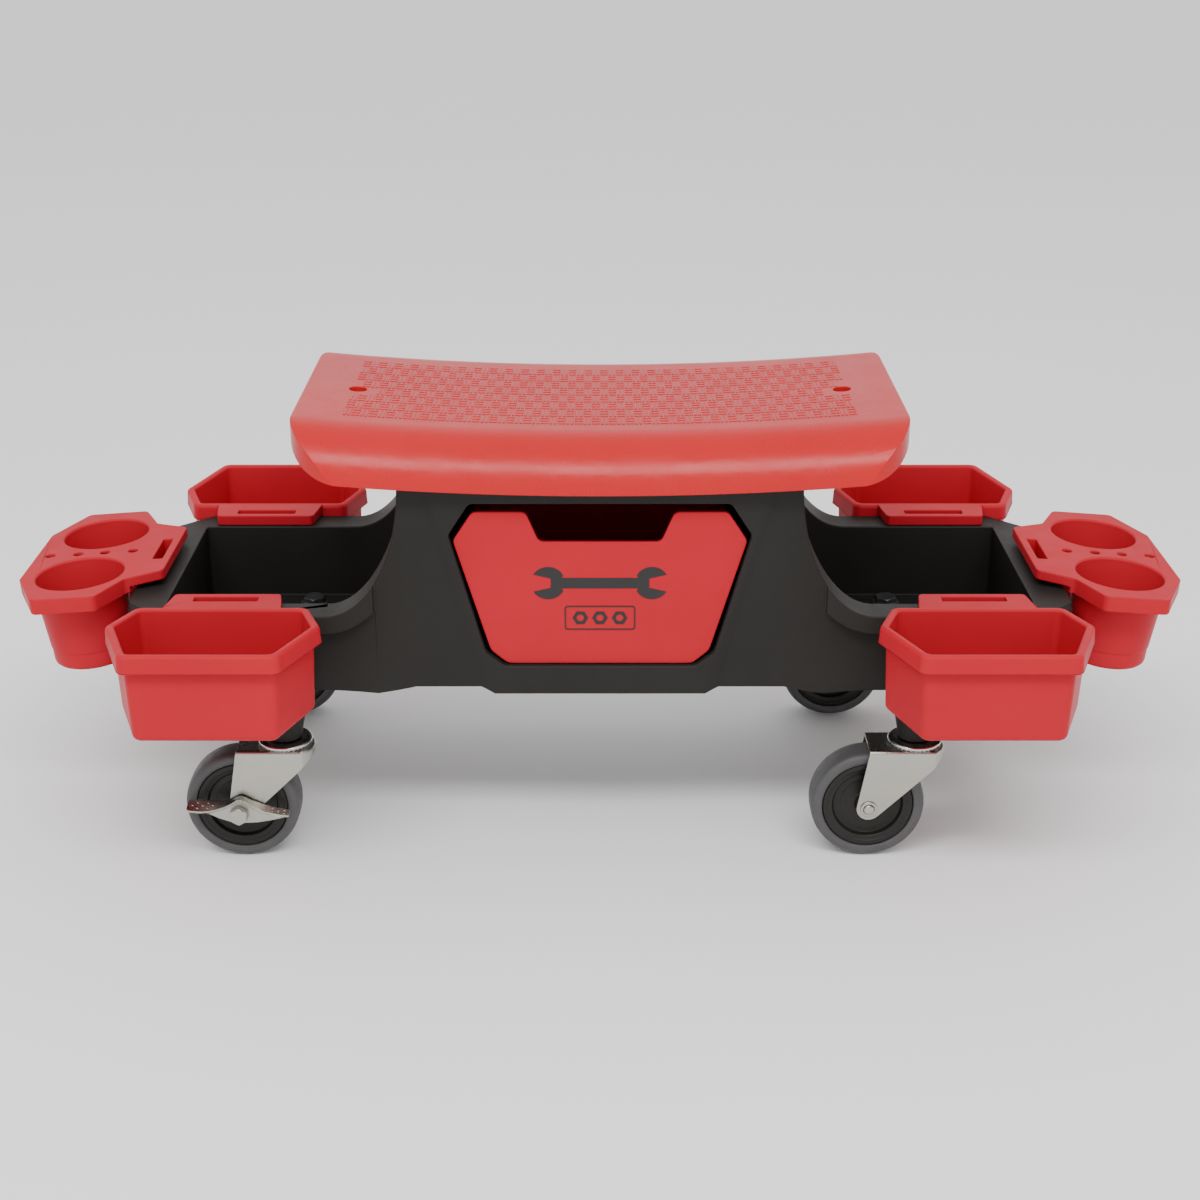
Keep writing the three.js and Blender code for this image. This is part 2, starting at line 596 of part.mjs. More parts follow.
// The point where a line from a far point touches the round end of a leg.
function tangentPoint([px, pz], side) {
  const [cx, cz] = [-WHEEL.trail, WHEEL.r];
  const distance = Math.hypot(px - cx, pz - cz);
  const toward = Math.atan2(pz - cz, px - cx);
  const angle = toward + side * Math.acos(FORK.legR / distance);
  return { angle, point: [cx + FORK.legR * Math.cos(angle), cz + FORK.legR * Math.sin(angle)] };
}

function legProfile() {
  const topLeft = [FORK.plateX, FORK.topZ];
  const topRight = [FORK.rightX, FORK.topZ];
  const lowRight = [FORK.rightX - 2, FORK.topZ - 7];
  const left = tangentPoint(topLeft, 1);
  const right = tangentPoint(lowRight, -1);
  const steps = 7;
  const sweep = left.angle - right.angle - 2 * Math.PI;
  const round = Array.from({ length: steps + 1 }, (_, i) => {
    const angle = left.angle - (sweep * i) / steps;
    const [cx, cz] = [-WHEEL.trail, WHEEL.r];
    return [cx + FORK.legR * Math.cos(angle), cz + FORK.legR * Math.sin(angle)];
  });
  return outline([topRight, topLeft, ...round, lowRight]);
}

function makeFork() {
  const { topZ, plate, headR, outerY } = FORK;
  const low = WHEEL.r - FORK.legR - PAST;
  const blank = (shrink, high) => join(
    rod([0, 0], headR - shrink, low, high, { sides: ROUND_SEGMENTS }),
    block(-3 * headR, 0, -outerY + shrink, outerY - shrink, low, high),
  );
  const pressed = cut(blank(0, topZ), blank(plate, topZ - plate));
  const trimmed = pressed.intersect(prism(legProfile(), -2 * headR, 2 * headR, "y"));
  const axle = [-WHEEL.trail, WHEEL.r];
  return cut(
    trimmed,
    rod([0, 0], RACE.pinR + FIT, low, topZ + PAST),
    rod(axle, AXLE.r + AXLE.clear, -2 * headR, 2 * headR, { axis: "y" }),
  );
}

function makeHub() {
  const { hubR, boreR, hubHalf } = WHEEL;
  const half = [[boreR, hubHalf], [9, hubHalf], [10.5, 7.5], [26.5, 6.5], [28, 11], [hubR, 11.5]];
  const lower = half.map(([r, y]) => [r, -y]);
  return turned(closed([...lower, ...half.toReversed()]), { axis: "y", at: [-WHEEL.trail, 0, WHEEL.r] });
}

function makeTyre() {
  const bore = WHEEL.hubR + FIT;
  const half = WHEEL.width / 2;
  const r = WHEEL.r;
  const upper = [[r, half - 6], [r - 1.2, half - 2.2], [r - 4, half], [bore, half - 1]];
  const lower = upper.toReversed().map(([radius, y]) => [radius, -y]);
  return turned(closed([...lower, ...upper]), { axis: "y", at: [-WHEEL.trail, 0, WHEEL.r] });
}

const closed = (profile) => [...profile, profile[0]];

// outward is -1 for a head on the outer side, which faces -Y, and 1 for a head on the inner side.
function makeAxleBolt(outward, headFrom, endFrom) {
  const at = [-WHEEL.trail, WHEEL.r];
  const span = (a, b) => [outward * a, outward * b].sort((p, q) => p - q);
  return join(
    rod(at, AXLE.r, ...span(-endFrom, headFrom + 1), { axis: "y" }),
    rod(at, AXLE.headR, ...span(headFrom, headFrom + AXLE.head), { axis: "y", sides: 6 }),
  );
}

// A hex nut on a braked castor, and a pressed-on round ring behind a plain castor's peened axle end.
function makeAxleCollar(outward, radius, depth, sides) {
  const at = [-WHEEL.trail, WHEEL.r];
  const from = FORK.outerY + AXLE.clear;
  const [low, high] = [-outward * from, -outward * (from + depth)].sort((p, q) => p - q);
  const collar = rod(at, radius, low, high, { axis: "y", sides });
  return cut(collar, rod(at, AXLE.r + 0.15, low - PAST, high + PAST, { axis: "y" }));
}

function makePlainAxleBolt() {
  const peenFrom = FORK.outerY + AXLE.clear + AXLE.ring;
  const peen = rod([-WHEEL.trail, WHEEL.r], AXLE.r - 1.2, -peenFrom - 1.6, -peenFrom - 0.9, {
    rHigh: AXLE.r,
    axis: "y",
  });
  return join(makeAxleBolt(1, FORK.outerY + AXLE.clear, peenFrom + 0.9), peen);
}

// A pressed rocker on the axle: a face plate with a bowed lower edge, and a toe pad at each end.
function makePedal() {
  const { in: inner, out, left, right, collarR } = PEDAL;
  const steps = 8;
  const bow = 8;
  const arc = Array.from({ length: steps + 1 }, (_, i) => {
    const t = i / steps;
    const chord = THREE.MathUtils.lerp(2.6, -3, t);
    const x = THREE.MathUtils.lerp(left, right, t);
    return [x - WHEEL.trail, WHEEL.r + chord - bow * (1 - (2 * t - 1) ** 2)];
  });
  const upper = [[38, 0], [22, 2.5], [12, 9], [3, 13.5], [-8, 10], [-14, 6.5], [left, 6]];
  const plate = outline([...arc, ...upper.map(([x, z]) => [x - WHEEL.trail, WHEEL.r + z])]);
  const pad = (x0, x1, z0, z1, near) => {
    const [px, pz] = [-WHEEL.trail, WHEEL.r];
    return block(px + x0, px + x1, -out, -near, pz + z0, pz + z1);
  };
  const around = { axis: "y", sides: CUP_SEGMENTS };
  const collar = rod([-WHEEL.trail, WHEEL.r], collarR, -inner - 1, -FORK.outerY - FIT, around);
  const pads = [pad(left, -13, 4, 6, 15), pad(19, right - 1, -2, 0.4, 19.5)];
  const whole = join(prism(plate, -out, -inner, "y"), collar, ...pads);
  const bore = rod([-WHEEL.trail, WHEEL.r], AXLE.r + AXLE.clear, -out - PAST, 0, { axis: "y" });
  return cut(whole, bore);
}

// ---------------------------------------------------------------- assembly
function meshOf(name, solid, material) {
  const { vertProperties, triVerts } = solid.getMesh();
  const geometry = new THREE.BufferGeometry();
  geometry.setAttribute("position", new THREE.BufferAttribute(vertProperties, 3));
  geometry.setIndex(new THREE.BufferAttribute(triVerts, 1));
  const mesh = new THREE.Mesh(geometry, MATERIALS[material]);
  mesh.name = name;
  return mesh;
}

const CORNERS = [
  { name: "front_left", x: -1, y: -1, brake: true },
  { name: "front_right", x: 1, y: -1, brake: false },
  { name: "rear_left", x: -1, y: 1, brake: true },
  { name: "rear_right", x: 1, y: 1, brake: false },
];

function binAt({ name, x, y }) {
  const mesh = meshOf("bin_" + name, makeBin(), "red");
  mesh.scale.set(x, y, 1);
  return mesh;
}

function armAt({ name, x, y }) {
  const flip = new THREE.Group();
  flip.scale.y = -y;
  flip.add(meshOf("castor_arm_" + name, makeArm(x), "black"));
  flip.add(meshOf("arm_bolt_" + name, makeArmBolt(x), "bolt"));
  return flip;
}

function castorAt({ name, x, y, brake }) {
  const castor = new THREE.Group();
  castor.position.set(STEM.x * x, STEM.y * y, 0);
  castor.scale.y = -y;
  castor.add(
    meshOf("castor_stem_" + name, makeStem(), "zinc"),
    meshOf("castor_fork_" + name, makeFork(), "zinc"),
    meshOf("wheel_hub_" + name, makeHub(), "hub"),
    meshOf("tyre_" + name, makeTyre(), "tyre"),
  );
  if (brake) {
    const nutEnd = FORK.outerY + AXLE.clear + AXLE.nut + 1.7;
    castor.add(
      meshOf("axle_bolt_" + name, makeAxleBolt(-1, PEDAL.out + AXLE.clear, nutEnd), "zinc"),
      meshOf("axle_nut_" + name, makeAxleCollar(-1, AXLE.headR, AXLE.nut, 6), "zinc"),
      meshOf("brake_pedal_" + name, makePedal(), "zinc"),
    );
  } else {
    castor.add(
      meshOf("axle_bolt_" + name, makePlainAxleBolt(), "zinc"),
      meshOf("axle_ring_" + name, makeAxleCollar(1, AXLE.ringR, AXLE.ring, CUP_SEGMENTS), "zinc"),
    );
  }
  return castor;
}

const group = new THREE.Group();
group.add(meshOf("chassis", makeChassis(), "black"));
group.add(meshOf("seat", makeSeat(), "red"));
seatScrewPlaces().forEach((at, i) => group.add(meshOf("seat_screw_" + (i + 1), makeSeatScrew(at), "bolt")));
group.add(meshOf("drawer", makeDrawer(), "red"));
for (const [name, side] of [["left", -1], ["right", 1]]) {
  const holder = meshOf("cup_holder_" + name, makeCupHolder(), "red");
  holder.scale.x = side;
  group.add(holder);
}
for (const corner of CORNERS) group.add(binAt(corner), armAt(corner), castorAt(corner));

export default group;
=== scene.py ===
import math

import bmesh
import bpy
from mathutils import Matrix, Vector


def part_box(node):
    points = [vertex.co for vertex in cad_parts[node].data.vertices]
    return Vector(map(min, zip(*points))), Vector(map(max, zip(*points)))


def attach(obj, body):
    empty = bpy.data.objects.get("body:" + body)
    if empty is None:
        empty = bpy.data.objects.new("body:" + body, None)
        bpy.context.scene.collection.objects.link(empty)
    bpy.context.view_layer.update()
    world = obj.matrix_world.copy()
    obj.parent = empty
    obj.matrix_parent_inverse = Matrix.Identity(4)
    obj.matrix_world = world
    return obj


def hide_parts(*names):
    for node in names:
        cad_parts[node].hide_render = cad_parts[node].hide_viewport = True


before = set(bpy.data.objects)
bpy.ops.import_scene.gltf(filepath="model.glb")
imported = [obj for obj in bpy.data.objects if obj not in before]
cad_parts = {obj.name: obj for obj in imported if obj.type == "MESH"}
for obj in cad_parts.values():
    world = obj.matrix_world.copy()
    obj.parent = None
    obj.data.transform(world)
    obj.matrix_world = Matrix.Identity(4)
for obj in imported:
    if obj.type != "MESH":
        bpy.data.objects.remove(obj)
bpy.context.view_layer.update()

MM = 0.001
PAST = 5.0  # how far a cutter runs past the face that it cuts
CORNERS = {"front_left": (-1, -1), "front_right": (1, -1), "rear_left": (-1, 1), "rear_right": (1, 1)}
BRAKED = ("front_left", "rear_left")


def box(node):
    low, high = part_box(node)
    return low / MM, high / MM


def middle(node):
    low, high = box(node)
    return (low + high) / 2


# ---------------------------------------------------------------- outlines
def arc(centre, radius, start, end, steps):
    """Points on an arc, from start to end in degrees."""
    angles = [math.radians(start + (end - start) * i / steps) for i in range(steps + 1)]
    return [(centre[0] + radius * math.cos(a), centre[1] + radius * math.sin(a)) for a in angles]


def rounded(points, radius, steps=6):
    """A closed outline with its corners rounded by tangent arcs. radius is one number or one for each corner."""
    count = len(points)
    radii = [radius] * count if isinstance(radius, (int, float)) else radius
    done = []
    for i, wanted in enumerate(radii):
        corner, before, after = (Vector(points[j % count][:2]) for j in (i, i - 1, i + 1))
        back, on = before - corner, after - corner
        half = back.angle(on) / 2
        if wanted <= 0 or half > math.radians(89):
            done.append(tuple(corner))
            continue
        reach = min(wanted / math.tan(half), 0.49 * back.length, 0.49 * on.length)
        r = reach * math.tan(half)
        centre = corner + (back.normalized() + on.normalized()).normalized() * (r / math.sin(half))
        first, last = (corner + side.normalized() * reach - centre for side in (back, on))
        start = math.atan2(first.y, first.x)
        turn = math.atan2(first.x * last.y - first.y * last.x, first.dot(last))
        for k in range(steps + 1):
            angle = start + turn * k / steps
            done.append((centre.x + r * math.cos(angle), centre.y + r * math.sin(angle)))
    return done


def inset(points, distance):
    """Moves each side of an anticlockwise outline inwards."""
    count = len(points)
    moved = []
    for i in range(count):
        corner, before, after = (Vector(points[j % count]) for j in (i, i - 1, i + 1))
        first, second = (corner - before).normalized(), (after - corner).normalized()
        a, b = Vector((-first.y, first.x)), Vector((-second.y, second.x))
        moved.append(tuple(corner + (a + b) * (distance / (1 + a.dot(b)))))
    return moved


def twofold(right):
    return list(right) + [(-x, y) for x, y in reversed(right)]


def fourfold(quarter):
    right = list(quarter) + [(x, -y) for x, y in reversed(quarter)]
    return right + [(-x, y) for x, y in reversed(right)]


# ---------------------------------------------------------------- meshes
def solid(name, points, faces):
    mesh = bpy.data.meshes.new(name)
    mesh.from_pydata([Vector(p) * MM for p in points], [], faces)
    shape = bmesh.new()
    shape.from_mesh(mesh)
    bmesh.ops.remove_doubles(shape, verts=shape.verts, dist=0.001 * MM)
    bmesh.ops.recalc_face_normals(shape, faces=shape.faces)
    shape.to_mesh(mesh)
    shape.free()
    piece = bpy.data.objects.new(name, mesh)
    bpy.context.scene.collection.objects.link(piece)
    return piece


def skin(rings, name="skin"):
    """Joins a row of rings of equal length by quads and closes both ends."""
    count = len(rings[0])
    faces = [tuple(range(count)), tuple(range((len(rings) - 1) * count, len(rings) * count))]
    for i in range(len(rings) - 1):
        for j in range(count):
            a, b = i * count + j, i * count + (j + 1) % count
            faces.append((a, b, b + count, a + count))
    return solid(name, [p for ring in rings for p in ring], faces)


def prism(outline, low, high, axis="z"):
    """An outline pulled from low to high: a plan along Z, a side view (x, z) along Y."""
    if axis == "z":
        return skin([[(x, y, level) for x, y in outline] for level in (low, high)])
    return skin([[(x, level, z) for x, z in outline] for level in (low, high)])


def block(x0, x1, y0, y1, z0, z1):
    return prism([(x0, y0), (x1, y0), (x1, y1), (x0, y1)], z0, z1)


def lathe(profile, centre, axis="z", steps=72, closed=False, name="turned"):
    """Turns (radius, height) points round an axis through centre. An open profile starts and ends on it."""
    points, rows = [], []
    for r, h in profile:
        count = 1 if r < 1e-6 else steps
        row = []
        for k in range(count):
            angle = 2 * math.pi * k / steps
            u, v = r * math.cos(angle), r * math.sin(angle)
            place = (u, v, h) if axis == "z" else (u, h, v)
            row.append(len(points))
            points.append(Vector(centre) + Vector(place))
        rows.append(row)
    pairs = list(zip(rows, rows[1:] + ([rows[0]] if closed else [])))
    faces = []
    for low, high in pairs:
        for k in range(steps):
            ring = [low[k % len(low)], low[(k + 1) % len(low)], high[(k + 1) % len(high)], high[k % len(high)]]
            ring = list(dict.fromkeys(ring))
            if len(ring) > 2:
                faces.append(tuple(ring))
    return solid(name, points, faces)


def rod(at, radius, low, high, axis="z", steps=48):
    """A cylinder between two heights along Z, at (x, y), or along Y, at (x, z)."""
    centre = (at[0], at[1], 0) if axis == "z" else (at[0], 0, at[1])
    return lathe([(0, low), (radius, low), (radius, high), (0, high)], centre, axis, steps)


def apply_modifiers(piece):
    graph = bpy.context.evaluated_depsgraph_get()
    made = bpy.data.meshes.new_from_object(piece.evaluated_get(graph))
    old = piece.data
    piece.modifiers.clear()
    piece.data = made
    bpy.data.meshes.remove(old)
    return piece


def boolean(piece, operation, *others):
    for other in others:
        step = piece.modifiers.new("boolean", "BOOLEAN")
        step.operation = operation
        step.solver = "MANIFOLD"
        step.object = other
        apply_modifiers(piece)
        bpy.data.objects.remove(other)
    return piece


def join(piece, *others):
    return boolean(piece, "UNION", *others)


def cut(piece, *others):
    return boolean(piece, "DIFFERENCE", *others)


def keep(piece, *others):
    return boolean(piece, "INTERSECT", *others)


def smooth(piece):
    """Applies the modifiers and shades the piece smooth, with its large flat faces left flat."""
    for face in piece.data.polygons:
        face.use_smooth = True
    normals = piece.modifiers.new("normals", "WEIGHTED_NORMAL")
    normals.keep_sharp = True
    return apply_modifiers(piece)


def soften(piece, width, segments=3, angle=32):
    """Cleans a boolean's leftovers, rounds the edges sharper than angle, and shades the rest smooth."""
    shape = bmesh.new()
    shape.from_mesh(piece.data)
    bmesh.ops.remove_doubles(shape, verts=shape.verts, dist=0.03 * MM)
    bmesh.ops.dissolve_limit(shape, angle_limit=math.radians(0.25), verts=shape.verts, edges=shape.edges)
    shape.to_mesh(piece.data)
    shape.free()
    if width:
        bevel = piece.modifiers.new("edges", "BEVEL")
        bevel.width = width * MM
        bevel.segments = segments
        bevel.angle_limit = math.radians(angle)
        bevel.use_clamp_overlap = False
        bevel.miter_outer = "MITER_ARC"
    return smooth(piece)


def mirrored(piece, name, x=1, y=1):
    """A copy of a piece, mirrored in the planes X = 0 or Y = 0."""
    copy = bpy.data.objects.new(name, piece.data.copy())
    bpy.context.scene.collection.objects.link(copy)
    for vertex in copy.data.vertices:
        vertex.co.x *= x
        vertex.co.y *= y
    if x * y < 0:
        copy.data.flip_normals()
        if "custom_normal" in copy.data.attributes:
            copy.data.attributes.remove(copy.data.attributes["custom_normal"])
            smooth(copy)
    copy.data.update()
    return copy


def moved(piece, x, y, z=0):
    for vertex in piece.data.vertices:
        vertex.co += Vector((x, y, z)) * MM
    piece.data.update()
    return piece


def finished(piece, name, material, body, slot, *nodes):
    piece.name = name
    piece.data.name = name
    piece.data.materials.clear()
    piece.data.materials.append(material)
    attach(piece, body)
    if nodes:
        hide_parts(*nodes)
    return piece


# ---------------------------------------------------------------- materials
class Nodes:
    """A node material being built: add makes a node, and link joins an output to an input."""

    def __init__(self, name):
        self.material = bpy.data.materials.new(name)
        self.material.use_nodes = True
        self.tree = self.material.node_tree
        self.shader = self.tree.nodes["Principled BSDF"]
        self.place = self.add("ShaderNodeTexCoord").outputs["Object"]

    def add(self, kind, **values):
        node = self.tree.nodes.new(kind)
        for key, value in values.items():
            if key in node.inputs:
                node.inputs[key].default_value = value
            else:
                setattr(node, key, value)
        return node

    def link(self, output, node, socket):
        self.tree.links.new(output, node.inputs[socket])

    def noise(self, scale, detail=3.0, roughness=0.5, stretch=None):
        node = self.add("ShaderNodeTexNoise", Scale=scale, Detail=detail, Roughness=roughness)
        self.link(self.stretched(stretch) if stretch else self.place, node, "Vector")
        return node.outputs["Fac"]

    def stretched(self, stretch):
        node = self.add("ShaderNodeMapping", Scale=stretch)
        self.link(self.place, node, "Vector")
        return node.outputs["Vector"]

    def ranged(self, value, low, high, start=0.3, end=0.7):
        node = self.add("ShaderNodeMapRange", **{"From Min": start, "From Max": end})
        node.inputs["To Min"].default_value = low
        node.inputs["To Max"].default_value = high
        self.link(value, node, "Value")
        return node.outputs["Result"]

    def blend(self, factor, first, second):
        node = self.add("ShaderNodeMix", data_type="RGBA")
        for socket, value in ((6, first), (7, second)):
            if isinstance(value, tuple):
                node.inputs[socket].default_value = value
            else:
                self.tree.links.new(value, node.inputs[socket])
        self.tree.links.new(factor, node.inputs[0])
        return node.outputs[2]

    def bump(self, height, strength, distance, under=None):
        node = self.add("ShaderNodeBump", Strength=strength, Distance=distance * MM)
        self.link(height, node, "Height")
        if under:
            self.link(under, node, "Normal")
        return node.outputs["Normal"]


def rgba(red, green, blue):
    return (red, green, blue, 1.0)


def moulded_plastic(name, light, dark, rough, grain=0.35, specular=0.5):
    """Satin moulded plastic: cloudy colour, a fine pebbled grain and faint flow marks."""
    nodes = Nodes(name)
    cloud = nodes.ranged(nodes.noise(9.0, 4.0), 0.0, 1.0)
    nodes.link(nodes.blend(cloud, dark, light), nodes.shader, "Base Color")
    smear = nodes.noise(38.0, 5.0, 0.6, (1.0, 1.0, 0.35))
    nodes.link(nodes.ranged(smear, rough - 0.05, rough + 0.06), nodes.shader, "Roughness")
    fine = nodes.bump(nodes.noise(2600.0, 2.0), grain, 0.03)
    flow = nodes.bump(nodes.noise(55.0, 2.0), 0.12, 0.25, fine)
    nodes.link(flow, nodes.shader, "Normal")
    nodes.shader.inputs["Specular IOR Level"].default_value = specular
    return nodes.material


def plated_steel(name, warm, cool, rough, metal=1.0):
    """Bright zinc on pressed steel: a cloudy tint, fine drawing marks and a faint orange peel."""
    nodes = Nodes(name)
    cloud = nodes.ranged(nodes.noise(60.0, 5.0, 0.6), 0.0, 1.0)
    nodes.link(nodes.blend(cloud, warm, cool), nodes.shader, "Base Color")
    marks = nodes.noise(240.0, 6.0, 0.7, (1.0, 1.0, 0.12))
    nodes.link(nodes.ranged(marks, rough - 0.06, rough + 0.08), nodes.shader, "Roughness")
    peel = nodes.bump(nodes.noise(420.0, 3.0), 0.18, 0.05)
    nodes.link(nodes.bump(marks, 0.1, 0.03, peel), nodes.shader, "Normal")
    nodes.shader.inputs["Metallic"].default_value = metal
    return nodes.material


def tyre_rubber(name):
    """Grey thermoplastic rubber: slightly dusty, with a fine matt grain."""
    nodes = Nodes(name)
    cloud = nodes.ranged(nodes.noise(45.0, 6.0, 0.65), 0.0, 1.0)
    nodes.link(nodes.blend(cloud, rgba(0.05, 0.0485, 0.051), rgba(0.066, 0.0645, 0.067)), nodes.shader, "Base Color")
    nodes.link(nodes.ranged(nodes.noise(160.0, 4.0), 0.46, 0.6), nodes.shader, "Roughness")
    fine = nodes.bump(nodes.noise(1900.0, 2.0), 0.3, 0.04)
    nodes.link(nodes.bump(nodes.noise(90.0, 3.0), 0.12, 0.2, fine), nodes.shader, "Normal")
    return nodes.material


def make_materials():
    return {
        "red": moulded_plastic("red_plastic", rgba(0.48, 0.0145, 0.026), rgba(0.44, 0.013, 0.0235), 0.42, 0.3, 0.08),
        "seat": moulded_plastic("seat_plastic", rgba(0.5, 0.009, 0.012), rgba(0.46, 0.008, 0.0105), 0.27, 0.3, 0.26),
        "black": moulded_plastic("black_plastic", rgba(0.02, 0.0185, 0.0165), rgba(0.017, 0.0155, 0.014), 0.46, 0.3, 0.14),
        "hub": moulded_plastic("wheel_plastic", rgba(0.012, 0.0105, 0.0085), rgba(0.009, 0.008, 0.007), 0.36, 0.3, 0.3),
        "print": moulded_plastic("black_print", rgba(0.008, 0.006, 0.006), rgba(0.006, 0.005, 0.005), 0.5),
        "tyre": tyre_rubber("grey_tyre"),
        "zinc": plated_steel("zinc_plate", rgba(0.44, 0.425, 0.37), rgba(0.4, 0.405, 0.375), 0.3),
        "race": plated_steel("bright_race", rgba(0.62, 0.58, 0.56), rgba(0.56, 0.56, 0.57), 0.17),
        "bolt": plated_steel("dark_steel", rgba(0.16, 0.16, 0.17), rgba(0.12, 0.125, 0.135), 0.4, 0.85),
    }


# ---------------------------------------------------------------- body
FACE_Y, WALL_Y, END_X, CORNER_Y = 115, 105.5, 360, 86.5
BEND = (140, 215)
TRAY = {"floor": 130, "under": 127, "rim": 193, "inner_y": 86.6, "end_x": 337, "inner_x": 152}
TRAY_ROUND = (60, 61.6)
BAND = {"depth": 14.5, "y": 114.5, "end_x": 368, "corner": (337, 84), "from_x": 173}
SWEEP = {"x": 211, "z": 300, "a": 59, "b": 107}
HOUSING = {"top": 312, "deck": 308, "x": 146, "y": 111, "floor": 154, "under": 150.5}
PANEL_Y, PANEL_TOP = 118.5, 306
BOLT_AT = (246, 68)
UNDERSIDE = {"z": 134.5, "flat_x": 142, "slope_x": 172, "from_y": 90}


def body_walls():
    steps = 14
    bend = []
    for i in range(steps + 1):
        t = i / steps
        ease = t * t * (3 - 2 * t)
        bend.append((BEND[0] + (BEND[1] - BEND[0]) * t, FACE_Y + (WALL_Y - FACE_Y) * ease))
    corner_x = END_X - (WALL_Y - CORNER_Y)
    ends = [(corner_x, WALL_Y), (END_X, CORNER_Y)]
    quarter = bend + ends
    radii = [0] * len(bend) + [9, 9]
    outline = rounded(fourfold(quarter), radii + radii[::-1] + radii + radii[::-1])
    return prism(outline, TRAY["under"], HOUSING["top"])


def sweep_points(grow, to_x, steps=26):
    """The wall's top, from the rim up to the housing, moved outwards by grow."""
    a, b = SWEEP["a"] + grow, SWEEP["b"] + grow
    last = math.asin((SWEEP["x"] - to_x) / a)
    turns = [last * i / steps for i in range(steps + 1)]
    return [(SWEEP["x"] - a * math.sin(t), SWEEP["z"] - b * math.cos(t)) for t in turns]


def wall_profile():
    foot = [(BAND["end_x"] + PAST, TRAY["under"] - PAST), (BAND["end_x"] + PAST, TRAY["rim"])]
    top = sweep_points(0, TRAY["inner_x"]) + [(TRAY["inner_x"], HOUSING["top"])]
    return prism(twofold(foot + top), -PANEL_Y, PANEL_Y, "y")


def rim_band(side):
    """The proud band under the rim. It is drawn too high, and the wall profile cuts its top."""
    lower = [(BAND["end_x"], TRAY["rim"] - BAND["depth"])] + sweep_points(BAND["depth"], BAND["from_x"])
    outline = [(side * x, z) for x, z in lower + [(BAND["from_x"], HOUSING["top"]), (BAND["end_x"], HOUSING["top"])]]
    plan = [(BAND["from_x"], BAND["y"]), (BAND["corner"][0], BAND["y"]), (BAND["end_x"], BAND["corner"][1])]
    radii = [0, 10, 10]
    corners = radii + radii[::-1]
    band = prism(outline, -BAND["y"], BAND["y"], "y")
    return keep(band, prism(rounded(fourfold(plan), corners + corners), TRAY["floor"], HOUSING["top"]))


def wall_undercut(side):
    """The front and back walls end higher below the housing than beside the trays."""
    z, flat_x, slope_x = UNDERSIDE["z"], UNDERSIDE["flat_x"], UNDERSIDE["slope_x"]
    run = PAST * (slope_x - flat_x) / (z - TRAY["under"])
    low, high = sorted((side * UNDERSIDE["from_y"], side * (PANEL_Y + PAST)))
    return prism(twofold([(slope_x + run, TRAY["under"] - PAST), (flat_x, z)]), low, high, "y")


def face_panel(side):
    """The proud trapezium on the front and the back of the housing, with its sloped edges."""
    def quad(top_x, bottom_x, y, low):
        return [(bottom_x, side * y, low), (top_x, side * y, PANEL_TOP),
                (-top_x, side * y, PANEL_TOP), (-bottom_x, side * y, low)]
    inner, outer = UNDERSIDE["z"], 129.7
    return skin([quad(136, 92, HOUSING["y"], inner), quad(136, 92, FACE_Y, inner), quad(131, 81, PANEL_Y, outer)])


def tray_hollow(side):
    round_x, round_y = TRAY_ROUND
    centre_x, centre_y = TRAY["inner_x"] + round_x, TRAY["inner_y"] - round_y
    steps = 20
    turns = [math.pi / 2 + math.pi / 2 * i / steps for i in range(steps + 1)]
    ends = [(centre_x + round_x * math.cos(t), centre_y + round_y * math.sin(t)) for t in turns]
    plan = [(TRAY["end_x"], TRAY["inner_y"])] + ends + [(x, -y) for x, y in reversed(ends)]
    plan += [(TRAY["end_x"], -TRAY["inner_y"])]
    radii = [4] + [0] * (len(plan) - 2) + [4]
    return prism([(side * x, y) for x, y in rounded(plan, radii)], TRAY["floor"], HOUSING["top"] + PAST)


def wall_channels(side):
    low, top = TRAY["under"] - PAST, 184
    spans = [(215, 333, 90, 102), (215, 333, -102, -90), (340.5, 356, -83, 83)]
    return [block(*sorted((side * x0, side * x1)), y0, y1, low, top) for x0, x1, y0, y1 in spans]


def rim_slots(side):
    low, high = 180.5, TRAY["rim"] + PAST
    places = [(287.7, y, 27.4, 7.1) for y in (99.5, -99.5)] + [(356.5, 0, 6.65, 25.15)]
    return [block(side * x - hx, side * x + hx, y - hy, y + hy, low, high) for x, y, hx, hy in places]


def bolt_holes(side):
    places = [(side * BOLT_AT[0], y) for y in (BOLT_AT[1], -BOLT_AT[1])]
    return [rod(at, 5.6, TRAY["under"] - PAST, TRAY["floor"] + PAST) for at in places]


def drawer_opening():
    right = [(73, 153.7), (87.5, 165), (114, 260.5), (98, 285.5)]
    radii = [8, 10, 5, 5]
    return prism(rounded(twofold(right), radii + radii[::-1]), -PANEL_Y - PAST, -HOUSING["y"] + PAST, "y")


def make_body(material):
    body = cut(body_walls(), wall_undercut(1), wall_undercut(-1))
    keep(join(body, rim_band(1), rim_band(-1)), wall_profile())
    join(body, face_panel(1), face_panel(-1))
    x, y = HOUSING["x"], HOUSING["y"]
    cutters = [block(-x, x, -y, y, HOUSING["floor"], HOUSING["deck"]), block(-x, x, -y, y, 115, HOUSING["under"])]
    cutters.append(drawer_opening())
    for side in (1, -1):
        cutters += [tray_hollow(side)] + wall_channels(side) + rim_slots(side) + bolt_holes(side)
    cut(body, *cutters)
    ribs = [block(s * 50 - 1.5, s * 50 + 1.5, -y - 1, y + 1, UNDERSIDE["z"], HOUSING["under"] + 1) for s in (1, -1)]
    ribs += [block(s * 88.25 - 1.75, s * 88.25 + 1.75, -100, 100, HOUSING["under"] + 1, 163) for s in (1, -1)]
    soften(join(body, *ribs), 1.3)
    return finished(body, "body_moulding", material, "main", "black_plastic", "chassis")


